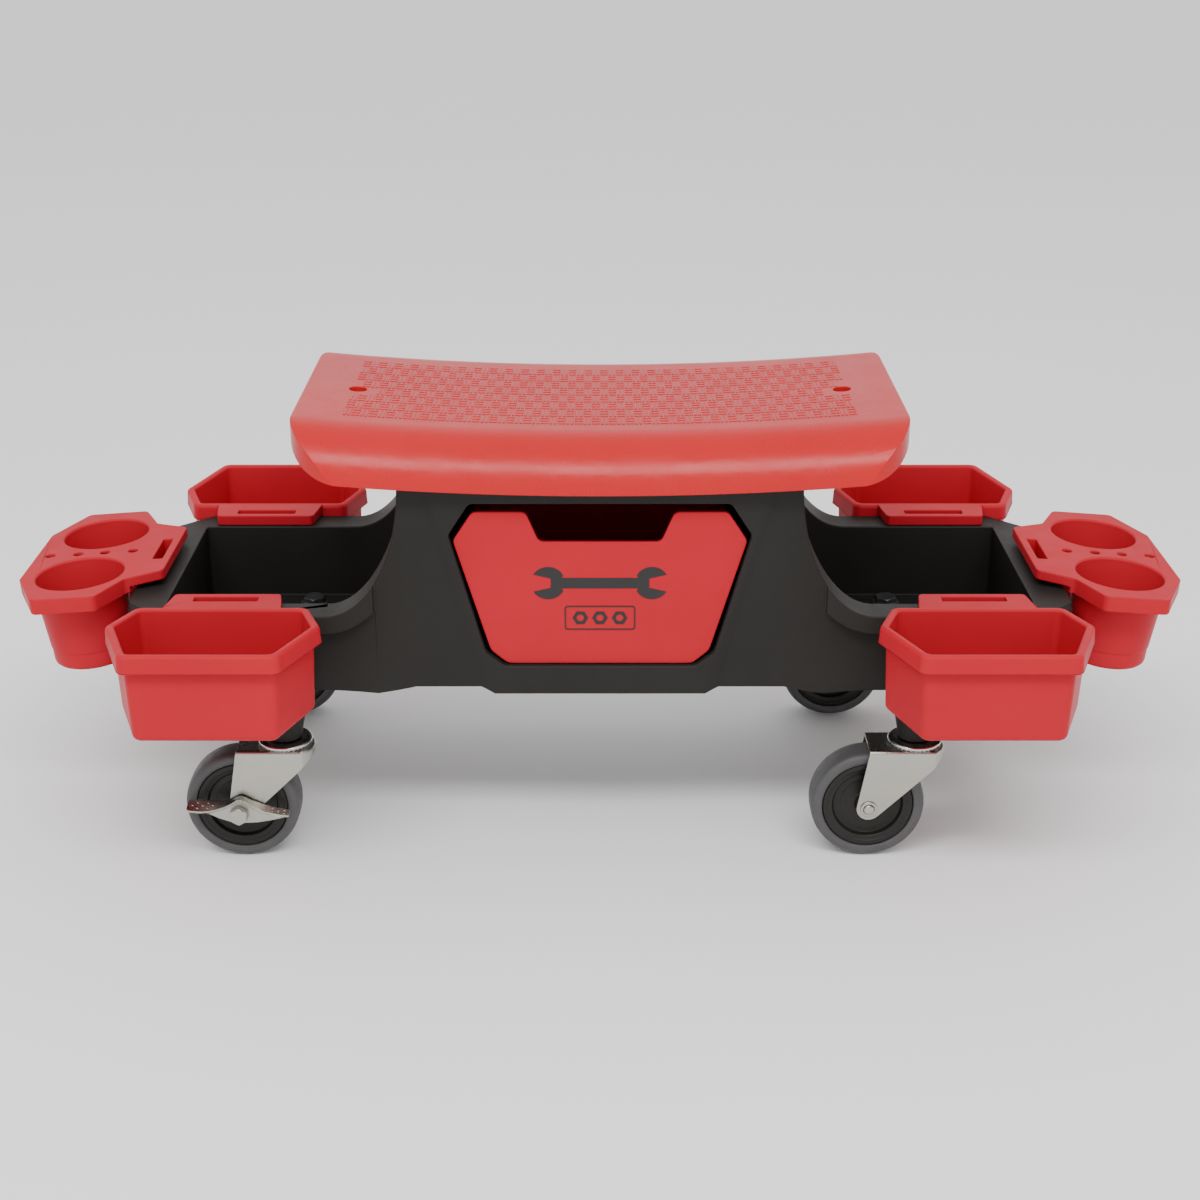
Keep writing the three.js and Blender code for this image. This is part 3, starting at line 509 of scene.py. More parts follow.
# ---------------------------------------------------------------- seat
SEAT = {"half_x": 232, "half_y": 130, "middle_z": 333, "rise": 11, "skirt_z": 295.3, "skirt_rise": 11}
SEAT_ROLL = {"front": 47, "back": 35}
SEAT_END = {"from_x": 187, "z": 333, "a": 45.5, "b": 30.6}
SEAT_SHELL, SEAT_CORNER = 4, 45
GRIP = {"half_x": 196, "front_y": -72, "back_y": 92, "cell_x": 6.5, "cell_y": 19.5, "rise": 0.45}


def seat_top(x):
    return SEAT["middle_z"] + SEAT["rise"] * (x / SEAT["half_x"]) ** 2


def seat_section(x, shell):
    """One cross-section of the seat: flat on top, rolling over to the front and back skirts."""
    skirt = SEAT["skirt_z"] + SEAT["skirt_rise"] * (x / SEAT["half_x"]) ** 2
    low = skirt - (PAST if shell else 0.001)

    def edge(roll):
        centre_z, r = seat_top(x) - roll, roll - shell
        low_angle = math.degrees(math.asin(max(0.0, skirt - centre_z) / r))
        rolled = arc((SEAT["half_y"] - roll, centre_z), r, low_angle, 90, 12)
        return [(rolled[0][0], low)] + rolled

    ring = edge(SEAT_ROLL["back"]) + [(-y, z) for y, z in reversed(edge(SEAT_ROLL["front"]))]
    return [(x, y, z) for y, z in ring]


def seat_blank(shell):
    stations = 36
    half_x, half_y = SEAT["half_x"] - shell, SEAT["half_y"] - shell
    rings = [seat_section(-half_x + 2 * half_x * i / stations, shell) for i in range(stations + 1)]
    corners = [(-half_x, -half_y), (half_x, -half_y), (half_x, half_y), (-half_x, half_y)]
    plan = rounded(corners, SEAT_CORNER - shell, 16)
    return keep(skin(rings), prism(plan, SEAT["skirt_z"] - 2 * PAST, SEAT["middle_z"] + 4 * PAST))


def seat_front_view():
    """The skirt curls up under each end of the seat."""
    steps, x, z = 24, SEAT_END["from_x"], SEAT_END["z"]
    turns = [math.pi / 2 * i / steps for i in range(steps + 1)]
    curl = [(x + SEAT_END["a"] * math.sin(t), z - SEAT_END["b"] * math.cos(t)) for t in turns]
    right = [(x, SEAT["skirt_z"] - PAST)] + curl + [(x + SEAT_END["a"], SEAT["middle_z"] + 4 * PAST)]
    return prism(twofold(right), -SEAT["half_y"] - PAST, SEAT["half_y"] + PAST, "y")


def grip_ribs():
    """Basket weave on the seat: cells of three short ribs across, and cells of two long ones."""
    points, faces = [], []

    def bar(x, y, half_x, half_y):
        shoulder = 0.35
        first = len(points)
        for grow, height in ((0, -0.6), (0, GRIP["rise"] - 0.2), (-shoulder, GRIP["rise"])):
            hx, hy = half_x + grow, half_y + grow
            for sx, sy in ((-1, -1), (1, -1), (1, 1), (-1, 1)):
                points.append((x + sx * hx, y + sy * hy, seat_top(x + sx * hx) + height))
        faces.append(tuple(range(first, first + 4)))
        faces.append(tuple(range(first + 8, first + 12)))
        for ring in (0, 4):
            for k in range(4):
                a, b = first + ring + k, first + ring + (k + 1) % 4
                faces.append((a, b, b + 4, a + 4))

    columns = int(2 * GRIP["half_x"] / GRIP["cell_x"])
    rows = int((GRIP["back_y"] - GRIP["front_y"]) / GRIP["cell_y"])
    for column in range(columns):
        x = (column - (columns - 1) / 2) * GRIP["cell_x"]
        for row in range(rows):
            y = GRIP["front_y"] + (row + 0.5) * GRIP["cell_y"]
            if math.hypot(abs(x) - 191, y) < 16:
                continue
            if (column + row) % 2:
                for k in (-1, 0, 1):
                    bar(x, y + k * GRIP["cell_y"] / 3, 2.9, 1.7)
            else:
                for k in (-1, 1):
                    bar(x + k * GRIP["cell_x"] / 4, y, 1.0, GRIP["cell_y"] / 2 - 0.9)
    return solid("grip", points, faces)


def make_seat(material):
    seat = cut(keep(seat_blank(0), seat_front_view()), seat_blank(SEAT_SHELL))
    places = [(sx * 110, sy * 70) for sx in (-1, 1) for sy in (-1, 1)]
    join(seat, *[rod(at, 8, HOUSING["top"] + 0.3, SEAT["middle_z"] - 1) for at in places])
    join(seat, *[rod((s * 191, 0), 9.5, 332.2, 339) for s in (-1, 1)])
    cut(seat, *[rod(at, 2.7, HOUSING["top"] - PAST, 327) for at in places])
    cut(seat, *[rod((s * 191, 0), 7, SEAT["skirt_z"], SEAT["middle_z"] + 4 * PAST) for s in (-1, 1)])
    soften(seat, 0.8, 3, 40)
    finished(seat, "seat_shell", material, "main", "red_plastic", "seat")
    grip = soften(grip_ribs(), 0)
    finished(grip, "seat_grip", material, "main", "red_plastic")


# ---------------------------------------------------------------- drawer
def make_drawer(material, ink):
    face = [(71, 154.3), (84, 165.3), (111, 255), (96, 278), (56, 278), (46, 254)]
    front_y, depth, back_y = -114.5, 4, 82
    radii = [10, 12, 6, 6, 6, 6]
    front = prism(rounded(twofold(face), radii + radii[::-1], 8), front_y, front_y + depth, "y")
    outer = [(68.6, 156.5), (81.2, 167.4), (103.8, 238)]
    inner = [(67.2, 159.3), (78.8, 168.8), (101.3, 239)]
    walls = prism(rounded(twofold(outer), [8, 10, 0, 0, 10, 8]), front_y + 1, back_y, "y")
    hollow = prism(rounded(twofold(inner), [6, 8, 0, 0, 8, 6]), front_y + depth, back_y - 3, "y")
    drawer = soften(join(front, cut(walls, hollow)), 0.9)
    finished(drawer, "drawer_moulding", material, "drawer", "red_plastic", "drawer")
    make_mark(ink, front_y)


def spanner(x, z, length, thick):
    """A plain open-ended spanner, drawn level."""
    jaw, head = thick * 0.9, thick * 1.55
    shaft = length / 2 - head
    right = [(shaft, thick / 2)] + arc((length / 2 - head * 0.2, 0), head, 150, 32, 10)
    right += [(length / 2 - head * 0.35, jaw / 2), (length / 2 - head * 0.35, -jaw / 2)]
    right += arc((length / 2 - head * 0.2, 0), head, -32, -150, 10) + [(shaft, -thick / 2)]
    outline = right + [(-px, pz) for px, pz in reversed(right)]
    return [(x + px, z + pz) for px, pz in outline]


def make_mark(ink, front_y):
    """A generic printed mark in place of the maker's: a spanner over a framed row of nuts."""
    thick = 0.25
    low, high = front_y - thick, front_y + 0.2
    centre = middle("drawer")
    mark = prism(spanner(centre.x, 221, 84, 8.5), low, high, "y")
    frame_z, half_x, half_z, line = 192.5, 27, 10, 1.1
    badge = prism(rounded(rectangle(0, frame_z, half_x, half_z), 2.5), low, high, "y")
    cut(badge, prism(rounded(rectangle(0, frame_z, half_x - line, half_z - line), 1.6), low - 1, high + 1, "y"))
    parts = [badge]
    for x in (-15, 0, 15):
        nut = prism(arc((x, frame_z), 6, 0, 300, 5), low, high, "y")
        parts.append(cut(nut, rod((x, frame_z), 2.8, low - 1, high + 1, "y", 32)))
    join(mark, *parts)
    soften(mark, 0)
    finished(mark, "drawer_mark", ink, "drawer", "black_plastic")


def rectangle(x, z, half_x, half_z):
    return [(x - half_x, z - half_z), (x + half_x, z - half_z), (x + half_x, z + half_z), (x - half_x, z + half_z)]


# ---------------------------------------------------------------- bins
BIN = {"x": 287.7, "y": 115, "top": 202, "low": 134, "lip": 7.5, "lip_depth": 13.6, "skin": 2.4, "tilt": 0.04}
PEG_LOW = 181.5


def bin_ring(shrink, z, radius):
    """One level of a bin. The higher it is, the more it rises outwards."""
    corners = [(-66.2, 0), (66.2, 0), (81, 41.5), (57.6, 105), (-57.6, 105), (-81, 41.5)]
    plan = rounded(inset(corners, shrink), radius, 7)
    rise = BIN["tilt"] * (z - BIN["low"]) / (BIN["top"] - BIN["low"])
    return [(BIN["x"] + x, BIN["y"] + y, z + rise * y) for x, y in plan]


def bin_shell():
    """The bin's skin as rings: up the outside, round the lip, and down the inside."""
    top, low, lip, skin_t = BIN["top"], BIN["low"], BIN["lip"], BIN["skin"]
    wall, draft, foot, floor = lip - skin_t, 2.5, 6.0, 6.5
    turns = [math.radians(15 * i) for i in range(7)]
    rings = [(wall + draft + foot * (1 - math.sin(t)), low + foot * (1 - math.cos(t)), 5 + 0.3 * i)
             for i, t in enumerate(turns)]
    under = top - BIN["lip_depth"]
    rings += [(wall + 0.5, under + 0.5, 7), (wall, under + 3, 7), (wall, top - skin_t, 7)]
    rings += [(skin_t, top - skin_t, 7.4), (skin_t, under + 0.6, 7.4), (skin_t - 0.5, under, 7.6)]
    rings += [(0.7, under, 7.8), (0.1, under + 0.6, 8), (0.5, under + 5, 8), (0.7, top - 3.4, 8)]
    rings += [(0.95, top - 1.9, 8), (1.6, top - 0.8, 7.8), (2.7, top - 0.15, 7.4), (4.0, top, 7)]
    rings += [(lip - 2.2, top, 6.6), (lip - 1, top - 0.35, 6.4), (lip - 0.3, top - 1.2, 6.2)]
    rings += [(lip, top - 2.6, 6), (lip + draft, low + 9, 5.4)]
    turns = [math.radians(18 * i) for i in range(1, 6)]
    rings += [(lip + draft + floor * (1 - math.cos(t)), low + skin_t + floor * (1 - math.sin(t)), 5) for t in turns]
    return skin([bin_ring(*ring) for ring in rings])


def peg(x, y, half_x, half_y, high=TRAY["rim"] + 1):
    wall = 1.9
    return prism(rounded(rectangle(x, y, half_x + wall, half_y + wall), 1.6), PEG_LOW, high)


def slot(x, y, half_x, half_y):
    return prism(rounded(rectangle(x, y, half_x, half_y), 1.2), PEG_LOW - PAST, BIN["top"] + 2 * PAST)


def make_bins(material):
    near_y = 89
    right = [(45, BIN["y"] + 4), (45, BIN["y"]), (41, near_y)]
    tab = rounded([(BIN["x"] + x, y) for x, y in twofold(right)], [0, 2, 4, 4, 2, 0])
    place = (BIN["x"], 99.5, 24.75, 4.5)
    shell = join(bin_shell(), prism(tab, TRAY["rim"] + 0.3, BIN["top"]), peg(*place))
    soften(cut(shell, slot(*place)), 0.9)
    for corner, (x, y) in CORNERS.items():
        name = "bin_" + corner
        finished(mirrored(shell, name, x, y), name + "_moulding", material, name, "red_plastic", name)
    bpy.data.objects.remove(shell)


# ---------------------------------------------------------------- cup holders
CUP = {"x": 413.4, "y": 45.7, "hole": 34.6, "outer": 37.4, "low": 130, "low_r": 30.8, "low_inner": 28}
PLATE = {"top": 201.3, "skirt": 12.7, "skirt_x": 371, "skin": 3.2}
DROOP = {"x": 421, "z": 201.3, "angle": 3.95}  # a cup holder hangs down outwards from its peg


def plate_plan(shrink, from_x, low, high):
    half = [(346, 49.5), (374, 64), (390, 98.4), (440, 98), (461, 50)]
    corners = [(x, -y) for x, y in half] + half[::-1]
    whole = prism(rounded(inset(corners, shrink), 6, 7), low, high)
    return keep(whole, block(from_x, 500, -120, 120, low - 1, high + 1))


def cup_outside(y):
    low, r, top = CUP["low"], CUP["low_r"], PLATE["top"] - 2
    foot = [(0, low + 0.8), (r - 9, low + 0.8), (r - 8, low), (r - 4, low)]
    foot += [(r - 4 + 4 * math.sin(math.radians(a)), low + 4 - 4 * math.cos(math.radians(a))) for a in (30, 60, 90)]
    step = [(r + 0.4, low + 14.2), (r + 0.55, low + 14.5), (r + 0.95, low + 14.8), (r + 1.1, low + 15.2)]
    return lathe(foot + step + [(CUP["outer"], top), (0, top)], (CUP["x"], y, 0), steps=96)


def cup_inside(y):
    floor, r, hole, top = CUP["low"] + 2.5, CUP["low_inner"], CUP["hole"], PLATE["top"]
    foot = [(0, floor), (r - 5, floor)]
    foot += [(r - 5 + 5 * math.sin(math.radians(a)), floor + 5 - 5 * math.cos(math.radians(a))) for a in (30, 60, 90)]
    lip = [(hole, top - 6), (hole + 0.05, top - 1.8), (hole + 0.25, top - 1.1), (hole + 0.75, top - 0.5)]
    lip += [(hole + 1.5, top - 0.12), (hole + 2.3, top + 0.02), (hole + 2.3, top + PAST)]
    return lathe(foot + lip + [(0, top + PAST)], (CUP["x"], y, 0), steps=96)


def drooping(piece, way=1):
    """Turns a right-hand piece about a line along Y, so that its outer end is lower, or back with way -1."""
    angle = math.radians(way * DROOP["angle"])
    for vertex in piece.data.vertices:
        x, z = vertex.co.x / MM - DROOP["x"], vertex.co.z / MM - DROOP["z"]
        vertex.co.x = (DROOP["x"] + x * math.cos(angle) + z * math.sin(angle)) * MM
        vertex.co.z = (DROOP["z"] + z * math.cos(angle) - x * math.sin(angle)) * MM
    piece.data.update()
    return piece


def make_cup_holders(material):
    top, skin_t = PLATE["top"], PLATE["skin"]
    neck = plate_plan(0, 300, TRAY["rim"] + 0.3, top)
    deep = plate_plan(0, PLATE["skirt_x"], top - PLATE["skirt"], top)
    pocket = plate_plan(skin_t, PLATE["skirt_x"] + 2.4, top - PLATE["skirt"] - PAST, top - skin_t)
    holder = cut(join(neck, deep), pocket)
    upright_peg, upright_slot = peg(356.5, 0, 4, 22.5, 199.3), slot(356.5, 0, 4, 22.5)
    join(holder, *[cup_outside(y) for y in (CUP["y"], -CUP["y"])], drooping(upright_peg, -1))
    holes = [drooping(rod((x, 0), 4, top - 16, top + 2 * PAST, steps=32), -1) for x in (381, 404, 426, 449)]
    cut(holder, drooping(upright_slot, -1), *holes, *[cup_inside(y) for y in (CUP["y"], -CUP["y"])])
    drooping(soften(holder, 1.0, 3, 44))
    for side, x in (("left", -1), ("right", 1)):
        name = "cup_holder_" + side
        finished(mirrored(holder, name, x), name + "_moulding", material, name, "red_plastic", name)
    bpy.data.objects.remove(holder)


# ---------------------------------------------------------------- castors
STEM = (244, 128)
WHEEL = {"trail": 35, "r": 44.5, "width": 27, "hub_r": 35.2, "bore": 4.4, "hub_half": 15.2}
FORK = {"top": 94, "plate": 2.5, "head_r": 23.5, "y": 18.5, "plate_x": -36, "leg_r": 9.5, "right_x": 24}
AXLE = (-WHEEL["trail"], WHEEL["r"])


def hex_head(at, radius, low, high, axis, crown):
    """A six-sided head with its outer corners turned off. crown is the end that is chamfered."""
    corners = arc(at, radius, 30, 330, 5)
    head = prism(corners, low, high, axis)
    flat = radius * math.cos(math.radians(30))
    ends = [(low, flat * 0.97), (high, flat * 0.97)]
    r_low, r_high = (radius + 0.2, ends[1][1]) if crown > 0 else (ends[0][1], radius + 0.2)
    rise = (radius - flat) * 0.7
    if crown > 0:
        profile = [(0, low - 1), (r_low, low - 1), (r_low, high - rise), (r_high, high), (0, high)]
    else:
        profile = [(0, low), (r_low, low), (r_high, low + rise), (r_high, high + 1), (0, high + 1)]
    centre = (at[0], at[1], 0) if axis == "z" else (at[0], 0, at[1])
    return keep(head, lathe(profile, centre, axis, 60))


def make_arm(side):
    bolt, stem = (BOLT_AT[0] * side, -BOLT_AT[1]), (STEM[0] * side, -STEM[1])
    half, under, top, flank = 18, 118.7, 126.7, 16.8
    plan = [(bolt[0] - flank, bolt[1]), (stem[0] - flank, stem[1]), (stem[0] + flank, stem[1]),
            (bolt[0] + flank, bolt[1])]
    arm = join(prism(plan, under, top), rod(bolt, half, under, top, steps=64), rod(stem, half, under, top, steps=64))
    waist = [(0, 99.3), (12.6, 99.3), (13.5, 100.2), (14.2, 106), (15.4, 112.5), (17, under + 1), (0, under + 1)]
    join(arm, lathe(waist, (stem[0], stem[1], 0), steps=64))
    cut(arm, rod(stem, 5.8, 90, 133), rod(bolt, 5.3, 110, 133))
    return soften(arm, 0.8)


def make_floor_bolt(side):
    at = (BOLT_AT[0] * side, -BOLT_AT[1])
    seat_z = TRAY["floor"] + 0.3
    flange = [(0, seat_z), (12, seat_z), (12, seat_z + 0.7), (11.4, seat_z + 1.1), (9.4, seat_z + 2), (0, seat_z + 2)]
    bolt = join(rod(at, 5, 115, seat_z + 1), lathe(flange, (*at, 0)))
    join(bolt, hex_head(at, 9.8, seat_z + 1.5, seat_z + 6.2, "z", 1))
    dish = [(0, seat_z + 5.6), (5.4, seat_z + 5.7), (6.4, seat_z + 6.3), (6.4, seat_z + 8), (0, seat_z + 8)]
    cut(bolt, lathe(dish, (*at, 0), steps=48))
    return soften(bolt, 0.35, 2)


def make_stem():
    """The stem, the dished bright race under the arm, and the king pin, as one turned piece."""
    profile = [(0, 88.9), (5.5, 88.9), (6.3, 89.3), (6.5, 90), (6.4, 90.9), (4, 91.1), (4, 95.5), (17.6, 95.5)]
    profile += [(19.6, 95.35), (20.5, 95.6), (20.95, 96.2), (21, 96.9), (20.7, 97.6), (20, 98.15), (19, 98.4)]
    profile += [(18, 98.45), (17.2, 98.65), (15.5, 98.9), (5.5, 98.9), (5.5, 123.4), (4.9, 124), (0, 124)]
    return soften(lathe(profile, (0, 0, 0), steps=96), 0)


def make_balls():
    """The ring of balls that shows in the gap between the races."""
    count, ring_r, r, z = 34, 18.9, 0.6, 94.72
    points, faces = [], []
    across, up = 8, 5
    for k in range(count):
        angle = 2 * math.pi * k / count
        centre = Vector((ring_r * math.cos(angle), ring_r * math.sin(angle), z))
        first = len(points)
        for i in range(up + 1):
            tilt = math.pi * i / up
            for j in range(across):
                turn = 2 * math.pi * j / across
                offset = Vector((math.sin(tilt) * math.cos(turn), math.sin(tilt) * math.sin(turn), math.cos(tilt)))
                points.append(centre + Vector((offset.x * 1.1, offset.y * 1.1, offset.z * r)))
        for i in range(up):
            for j in range(across):
                a, b = first + i * across + j, first + i * across + (j + 1) % across
                faces.append((a, b, b + across, a + across))
    return soften(solid("balls", points, faces), 0)


def tangent(point, side):
    cx, cz = AXLE
    distance = math.hypot(point[0] - cx, point[1] - cz)
    toward = math.atan2(point[1] - cz, point[0] - cx)
    return math.degrees(toward + side * math.acos(FORK["leg_r"] / distance))


def leg_outline():
    """Side view of the pressed legs: wide under the top plate, with a round end at the axle."""
    top, left, right = FORK["top"], FORK["plate_x"], FORK["right_x"]
    low_right = (right - 2, top - 7)
    start, end = tangent((left, top), 1), tangent(low_right, -1)
    round_end = arc(AXLE, FORK["leg_r"], start, end + 360, 18)
    return [(right + 1, top + 1), (left, top + 1)] + round_end + [low_right]


def fork_blank(shrink, high, fillet):
    """A plate with two flat sides and a round head, its top edge rolled over by fillet."""
    r, y, low = FORK["head_r"] - shrink, FORK["y"] - shrink, 25
    meet = math.degrees(math.asin(y / r))

    def ring(grow, z):
        rr, yy = r - grow, y - grow
        at = math.degrees(math.asin(min(1, yy / rr)))
        return [(x, v, z) for x, v in [(-75, -yy)] + arc((0, 0), rr, -at, at, 20) + [(-75, yy)]]

    turns = [math.radians(15 * i) for i in range(7)]
    rings = [ring(0, low)] + [ring(fillet * (1 - math.cos(t)), high - fillet * (1 - math.sin(t))) for t in turns]
    return skin(rings)


def make_fork():
    plate, top = FORK["plate"], FORK["top"]
    fork = cut(fork_blank(0, top, 3.2), fork_blank(plate, top - plate, 1.2))
    keep(fork, prism(leg_outline(), -60, 60, "y"))
    cut(fork, rod((0, 0), 4.3, 60, 120), rod(AXLE, 4.3, -60, 60, "y"))
    cut(fork, lathe([(17, 95), (19, 93.75), (21, 95)], (0, 0, 0), closed=True))
    return soften(fork, 0.5, 2)


def make_hub():
    """Dished on both faces: a boss, a web, a stepped ring and the rim that the tyre sits on."""
    half = [(4.4, 15.2), (8.2, 15.2), (9, 14.8), (9.6, 9), (10.8, 7.4), (20.5, 6.7), (21, 7.4), (21.8, 7.6)]
    half += [(22.4, 7), (25.6, 6.8), (26.6, 7.4), (27.4, 10.2), (28.2, 10.8), (30.6, 11), (31.3, 11.6), (31.9, 12.1)]
    half += [(34.2, 12.1), (34.9, 11.7), (35.2, 11)]
    profile = [(r, -h) for r, h in half] + half[::-1]
    return soften(lathe(profile, (AXLE[0], 0, AXLE[1]), "y", 96, closed=True), 0)


def make_tyre():
    half, r, bore = WHEEL["width"] / 2, WHEEL["r"], WHEEL["hub_r"] + 0.3
    upper = [(r - 0.02, 0.5), (r - 0.1, 5.5), (r - 0.35, 8.6), (r - 0.9, 10.6), (r - 1.7, 11.9), (r - 2.9, 12.9)]
    upper += [(r - 4.3, half - 0.1), (r - 5.6, half), (bore + 1.6, half - 0.5), (bore + 0.7, half - 0.9)]
    upper += [(bore, half - 1.7)]
    profile = [(rad, -h) for rad, h in reversed(upper)] + [(r, 0)] + upper
    return soften(lathe(profile, (AXLE[0], 0, AXLE[1]), "y", 128, closed=True), 0)


def make_axle(brake):
    """The axle bolt: a hex head outside a brake pedal, or a peened end on a plain castor's outer side."""
    low, high = box("axle_bolt_front_left" if brake else "axle_bolt_front_right")
    low_y, high_y = low.y + STEM[1], high.y + STEM[1]
    if brake:
        shaft = rod(AXLE, 4, low_y + 2, high_y, "y")
        return soften(join(shaft, hex_head(AXLE, 7.5, low_y, low_y + 5.3, "y", -1)), 0.35, 2)
    end = -FORK["y"] - 2.4
    dome = [(0, end - 0.9), (2.2, end - 0.75), (3.6, end - 0.2), (4.1, end + 0.5), (4, end + 1.4), (4, high_y - 4)]
    shaft = lathe(dome + [(0, high_y - 4)], (AXLE[0], 0, AXLE[1]), "y")
    return soften(join(shaft, hex_head(AXLE, 7.5, high_y - 5.3, high_y, "y", 1)), 0.35, 2)


def make_nut(brake):
    low, high = box("axle_nut_front_left" if brake else "axle_ring_front_right")
    low_y, high_y = low.y + STEM[1], high.y + STEM[1]
    if brake:
        nut = hex_head(AXLE, 7.5, low_y, high_y, "y", 1)
        return soften(cut(nut, rod(AXLE, 4.15, low_y - 5, high_y + 5, "y")), 0.3, 2)
    inner = high_y
    ring = [(4.2, inner), (6.6, inner), (6.6, inner - 0.6), (6.1, inner - 1), (4.9, inner - 1.1), (4.2, inner - 0.9)]
    return soften(lathe(ring, (AXLE[0], 0, AXLE[1]), "y", closed=True), 0)


# Stations of the pedal's folded sheet: x from the axle, height of its front lip, height and Y of its back.
HOOD = [
    (-41.0, 4.4, 6.4, 16.5), (-39.5, 2.9, 6.7, 15.2), (-31.0, 1.9, 6.6, 15.0), (-23.5, 2.4, 6.4, 15.2),
    (-18.0, 3.8, 6.8, 16.5), (-12.0, 5.8, 7.8, 19.5), (-6.0, 8.8, 9.8, 20.2), (-1.5, 12.0, 12.4, 20.3),
    (1.5, 12.6, 13.0, 20.3), (5.0, 10.6, 11.6, 20.3), (9.0, 7.4, 9.2, 20.2), (14.0, 4.4, 7.0, 20.0),
    (20.0, 1.6, 4.6, 19.6), (30.0, -0.5, 2.2, 19.6), (36.5, -1.5, 0.9, 19.8), (38.0, -1.2, 0.6, 20.4),
]


def hood_at(x):
    """Height of the lip, height of the back and Y of the back at x, between two stations."""
    for left, right in zip(HOOD, HOOD[1:]):
        if x <= right[0]:
            t = (x - left[0]) / (right[0] - left[0])
            return [low + (high - low) * t for low, high in zip(left[1:], right[1:])]
    return list(HOOD[-1][1:])


def make_pedal():
    """A pressed rocker: a bowed face plate under a folded sheet that makes a hood and the two toe pads."""
    out, inner, thick = -26.5, -24.5, 1.5
    ax, az = AXLE
    rings = []
    for x, lip, back, near in HOOD:
        rise = [(out, lip - thick), (out, lip - 0.4), (out + 0.4, lip), (-near, back), (-near, back - thick)]
        rings.append([(ax + x, y, az + z) for y, z in rise])
    lower = [(-29, 1.2), (-23.5, 0), (-16, -3.8), (-7, -7), (1.5, -7.9), (14, -7.3), (26.5, -5), (36.5, -2.6)]
    upper = [(x, lip - 0.9) for x, lip, _, _ in HOOD if -29 < x < 37]
    face = prism([(ax + x, az + z) for x, z in lower + upper[::-1]], out + 0.06, inner, "y")
    collar = rod(AXLE, 8, inner - 1, -FORK["y"] - 0.3, "y")
    pedal = join(face, skin(rings), collar)
    cut(pedal, rod(AXLE, 4.3, out - 5, 0, "y"))
    return soften(pedal, 0.3, 2, 40)


def toe_dots():
    """Raised grip dots on the toe pads."""
    ax, az = AXLE
    dots = []
    for i, x in enumerate((-37, -33, -29, -25, -21, 25, 29.5, 34)):
        lip, back, near = hood_at(x)
        for share in (0.3, 0.75) if i % 2 else (0.52,):
            y, z = -26.5 + (26.5 - near) * share, lip + (back - lip) * share
            profile = [(0, z - 0.6), (1.1, z - 0.6), (1.0, z + 0.2), (0.5, z + 0.45), (0, z + 0.5)]
            dots.append(lathe(profile, (ax + x, y, az), steps=12))
    return soften(join(dots[0], *dots[1:]), 0)


def make_castors(materials):
    """Each casting is drawn once round its stem, for a front castor, and mirrored to the back."""
    arms = {side: (make_arm(side), make_floor_bolt(side)) for side in (-1, 1)}
    masters = {
        "castor_stem": make_stem(), "balls": make_balls(), "castor_fork": make_fork(), "wheel_hub": make_hub(),
        "tyre": make_tyre(), "pedal": make_pedal(), "dots": toe_dots(),
    }
    axles = {brake: (make_axle(brake), make_nut(brake)) for brake in (True, False)}
    zinc, race = materials["zinc"], materials["race"]
    for corner, (x, y) in CORNERS.items():
        brake = corner in BRAKED

        def put(master, name, material, body, slot_name, *nodes):
            copy = mirrored(master, name, 1, -y)
            return finished(moved(copy, x * STEM[0], y * STEM[1]), name, material, body, slot_name, *nodes)

        castor, wheel = "castor_" + corner, "wheel_" + corner
        for master, node, material, slot_name in (
            (arms[x][0], "castor_arm_" + corner, materials["black"], "black_plastic"),
            (arms[x][1], "arm_bolt_" + corner, materials["bolt"], "dark_steel"),
        ):
            copy = mirrored(master, node, 1, -y)
            finished(copy, node + "_piece", material, "main", slot_name, node)
        stem, fork = "castor_stem_" + corner, "castor_fork_" + corner
        put(masters["castor_stem"], stem + "_piece", race, "main", "zinc", stem)
        put(masters["balls"], "castor_balls_" + corner, race, castor, "zinc")
        put(masters["castor_fork"], fork + "_piece", zinc, castor, "zinc", fork)
        hub, tyre = "wheel_hub_" + corner, "tyre_" + corner
        put(masters["wheel_hub"], hub + "_piece", materials["hub"], wheel, "wheel_plastic", hub)
        put(masters["tyre"], tyre + "_piece", materials["tyre"], wheel, "grey_tyre", tyre)
        bolt, nut = "axle_bolt_" + corner, ("axle_nut_" if brake else "axle_ring_") + corner
        put(axles[brake][0], bolt + "_piece", zinc, castor, "zinc", bolt)
        put(axles[brake][1], nut + "_piece", zinc, castor, "zinc", nut)
        if brake:
            pedal = "brake_pedal_" + corner
            put(masters["pedal"], pedal + "_piece", zinc, "brake_" + corner, "zinc", pedal)
            put(masters["dots"], pedal + "_dots", zinc, "brake_" + corner, "zinc")
    for master in [*masters.values(), *(p for pair in [*arms.values(), *axles.values()] for p in pair)]:
        bpy.data.objects.remove(master)


def make_seat_screws(material):
    """Pan-head screws from under the deck, with a cross recess."""
    for i in range(1, 5):
        node = f"seat_screw_{i}"
        low, high = box(node)
        at = middle(node)
        head = [(0, low.z), (3.4, low.z), (5.2, low.z + 0.8), (6, low.z + 2), (6, low.z + 3), (2.3, low.z + 3)]
        screw = lathe(head + [(2.3, high.z - 3), (0.6, high.z), (0, high.z)], (at.x, at.y, 0), steps=40)
        depth = low.z + 1.8
        cut(screw, block(at.x - 2.6, at.x + 2.6, at.y - 0.5, at.y + 0.5, low.z - 1, depth))
        cut(screw, block(at.x - 0.5, at.x + 0.5, at.y - 2.6, at.y + 2.6, low.z - 1, depth))
        soften(screw, 0)
        finished(screw, node + "_piece", material, "main", "dark_steel", node)


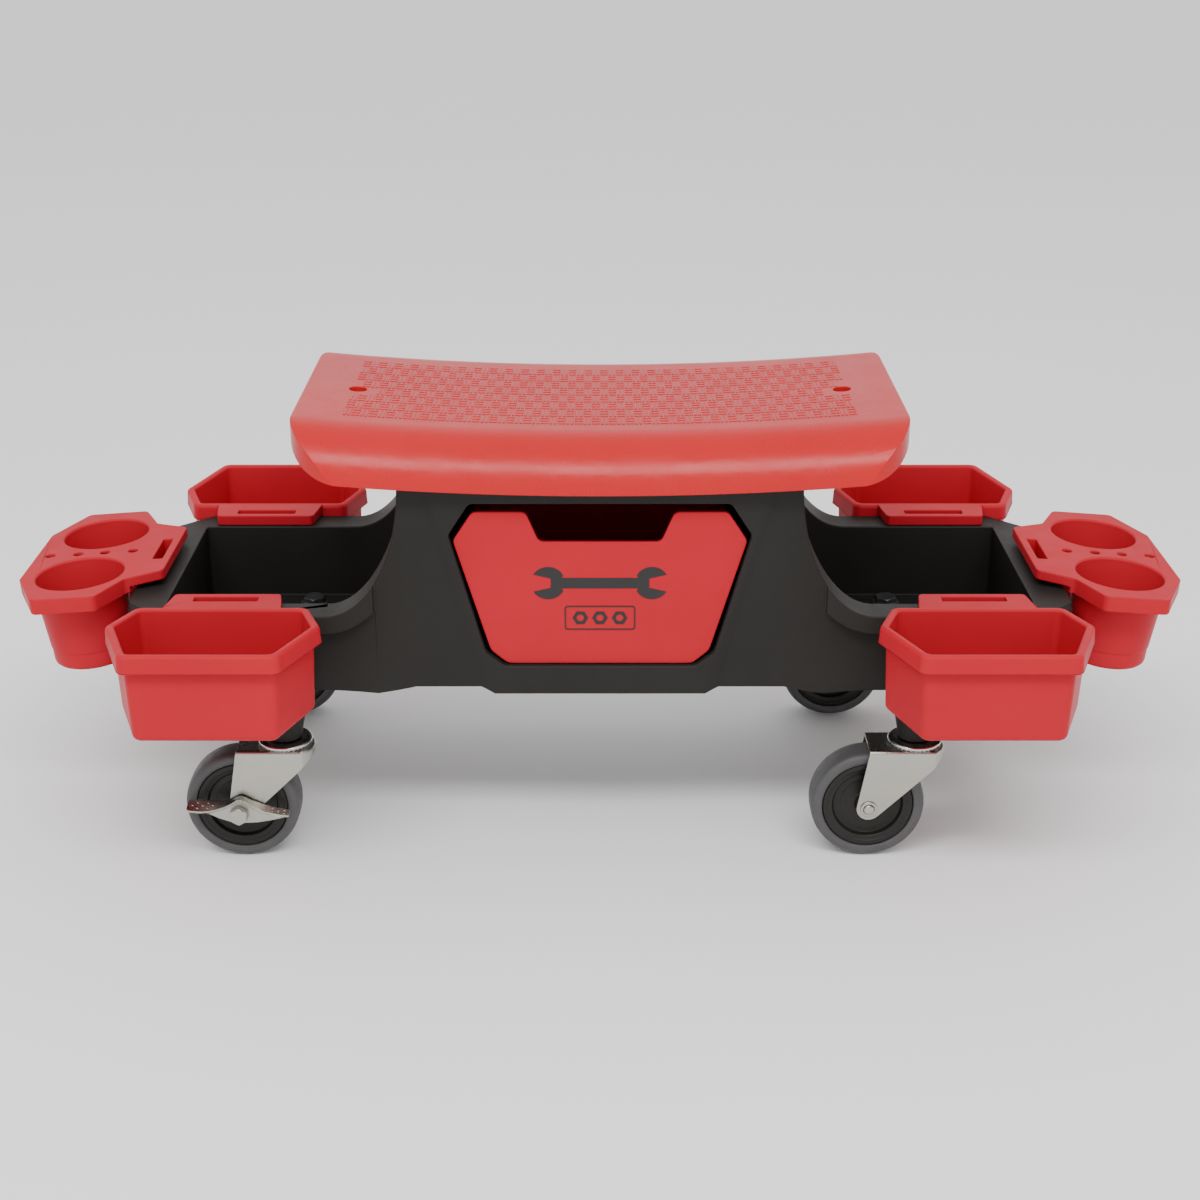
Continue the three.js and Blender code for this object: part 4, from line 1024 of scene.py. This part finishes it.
# ---------------------------------------------------------------- stage
def make_camera():
    """Level with nothing: in front of the drawer, looking down at the body, with a normal lens."""
    data = bpy.data.cameras.new("camera")
    data.lens = 58.52
    data.shift_y = 0.002
    camera = bpy.data.objects.new("camera", data)
    camera.location = (0, -1.4888, 0.769)
    camera.rotation_euler = (math.radians(90 - 22.306), 0, 0)
    bpy.context.scene.collection.objects.link(camera)
    bpy.context.scene.camera = camera


def make_light(name, place, size, power, target=(0, 0, 0.2)):
    data = bpy.data.lights.new(name, "AREA")
    data.shape = "RECTANGLE"
    data.size, data.size_y = size
    data.energy = power
    light = bpy.data.objects.new(name, data)
    light.location = place
    light.rotation_euler = (Vector(target) - Vector(place)).to_track_quat("-Z", "Y").to_euler()
    bpy.context.scene.collection.objects.link(light)


def make_stage():
    nodes = Nodes("floor")
    nodes.link(nodes.blend(nodes.noise(3.0), rgba(0.9, 0.9, 0.9), rgba(0.92, 0.92, 0.92)), nodes.shader, "Base Color")
    nodes.shader.inputs["Roughness"].default_value = 0.7
    half = 9000
    floor = solid("floor", [(-half, -half, 0), (half, -half, 0), (half, half, 0), (-half, half, 0)], [(0, 1, 2, 3)])
    if floor.data.polygons[0].normal.z < 0:
        floor.data.flip_normals()
    floor.data.materials.append(nodes.material)
    world = bpy.data.worlds.new("studio")
    world.use_nodes = True
    world.node_tree.nodes["Background"].inputs["Color"].default_value = rgba(1.0, 1.0, 1.0)
    world.node_tree.nodes["Background"].inputs["Strength"].default_value = 1.15
    bpy.context.scene.world = world
    make_light("key", (-0.1, -1.45, 2.25), (2.6, 0.6), 53)
    make_light("fill", (0.2, -2.6, 0.9), (3.2, 1.4), 2)
    make_light("back", (0.0, 1.9, 1.9), (2.6, 1.0), 2)


def main():
    materials = make_materials()
    make_camera()
    make_body(materials["black"])
    make_seat(materials["seat"])
    make_drawer(materials["red"], materials["print"])
    make_bins(materials["red"])
    make_cup_holders(materials["red"])
    make_castors(materials)
    make_seat_screws(materials["bolt"])
    make_stage()


main()
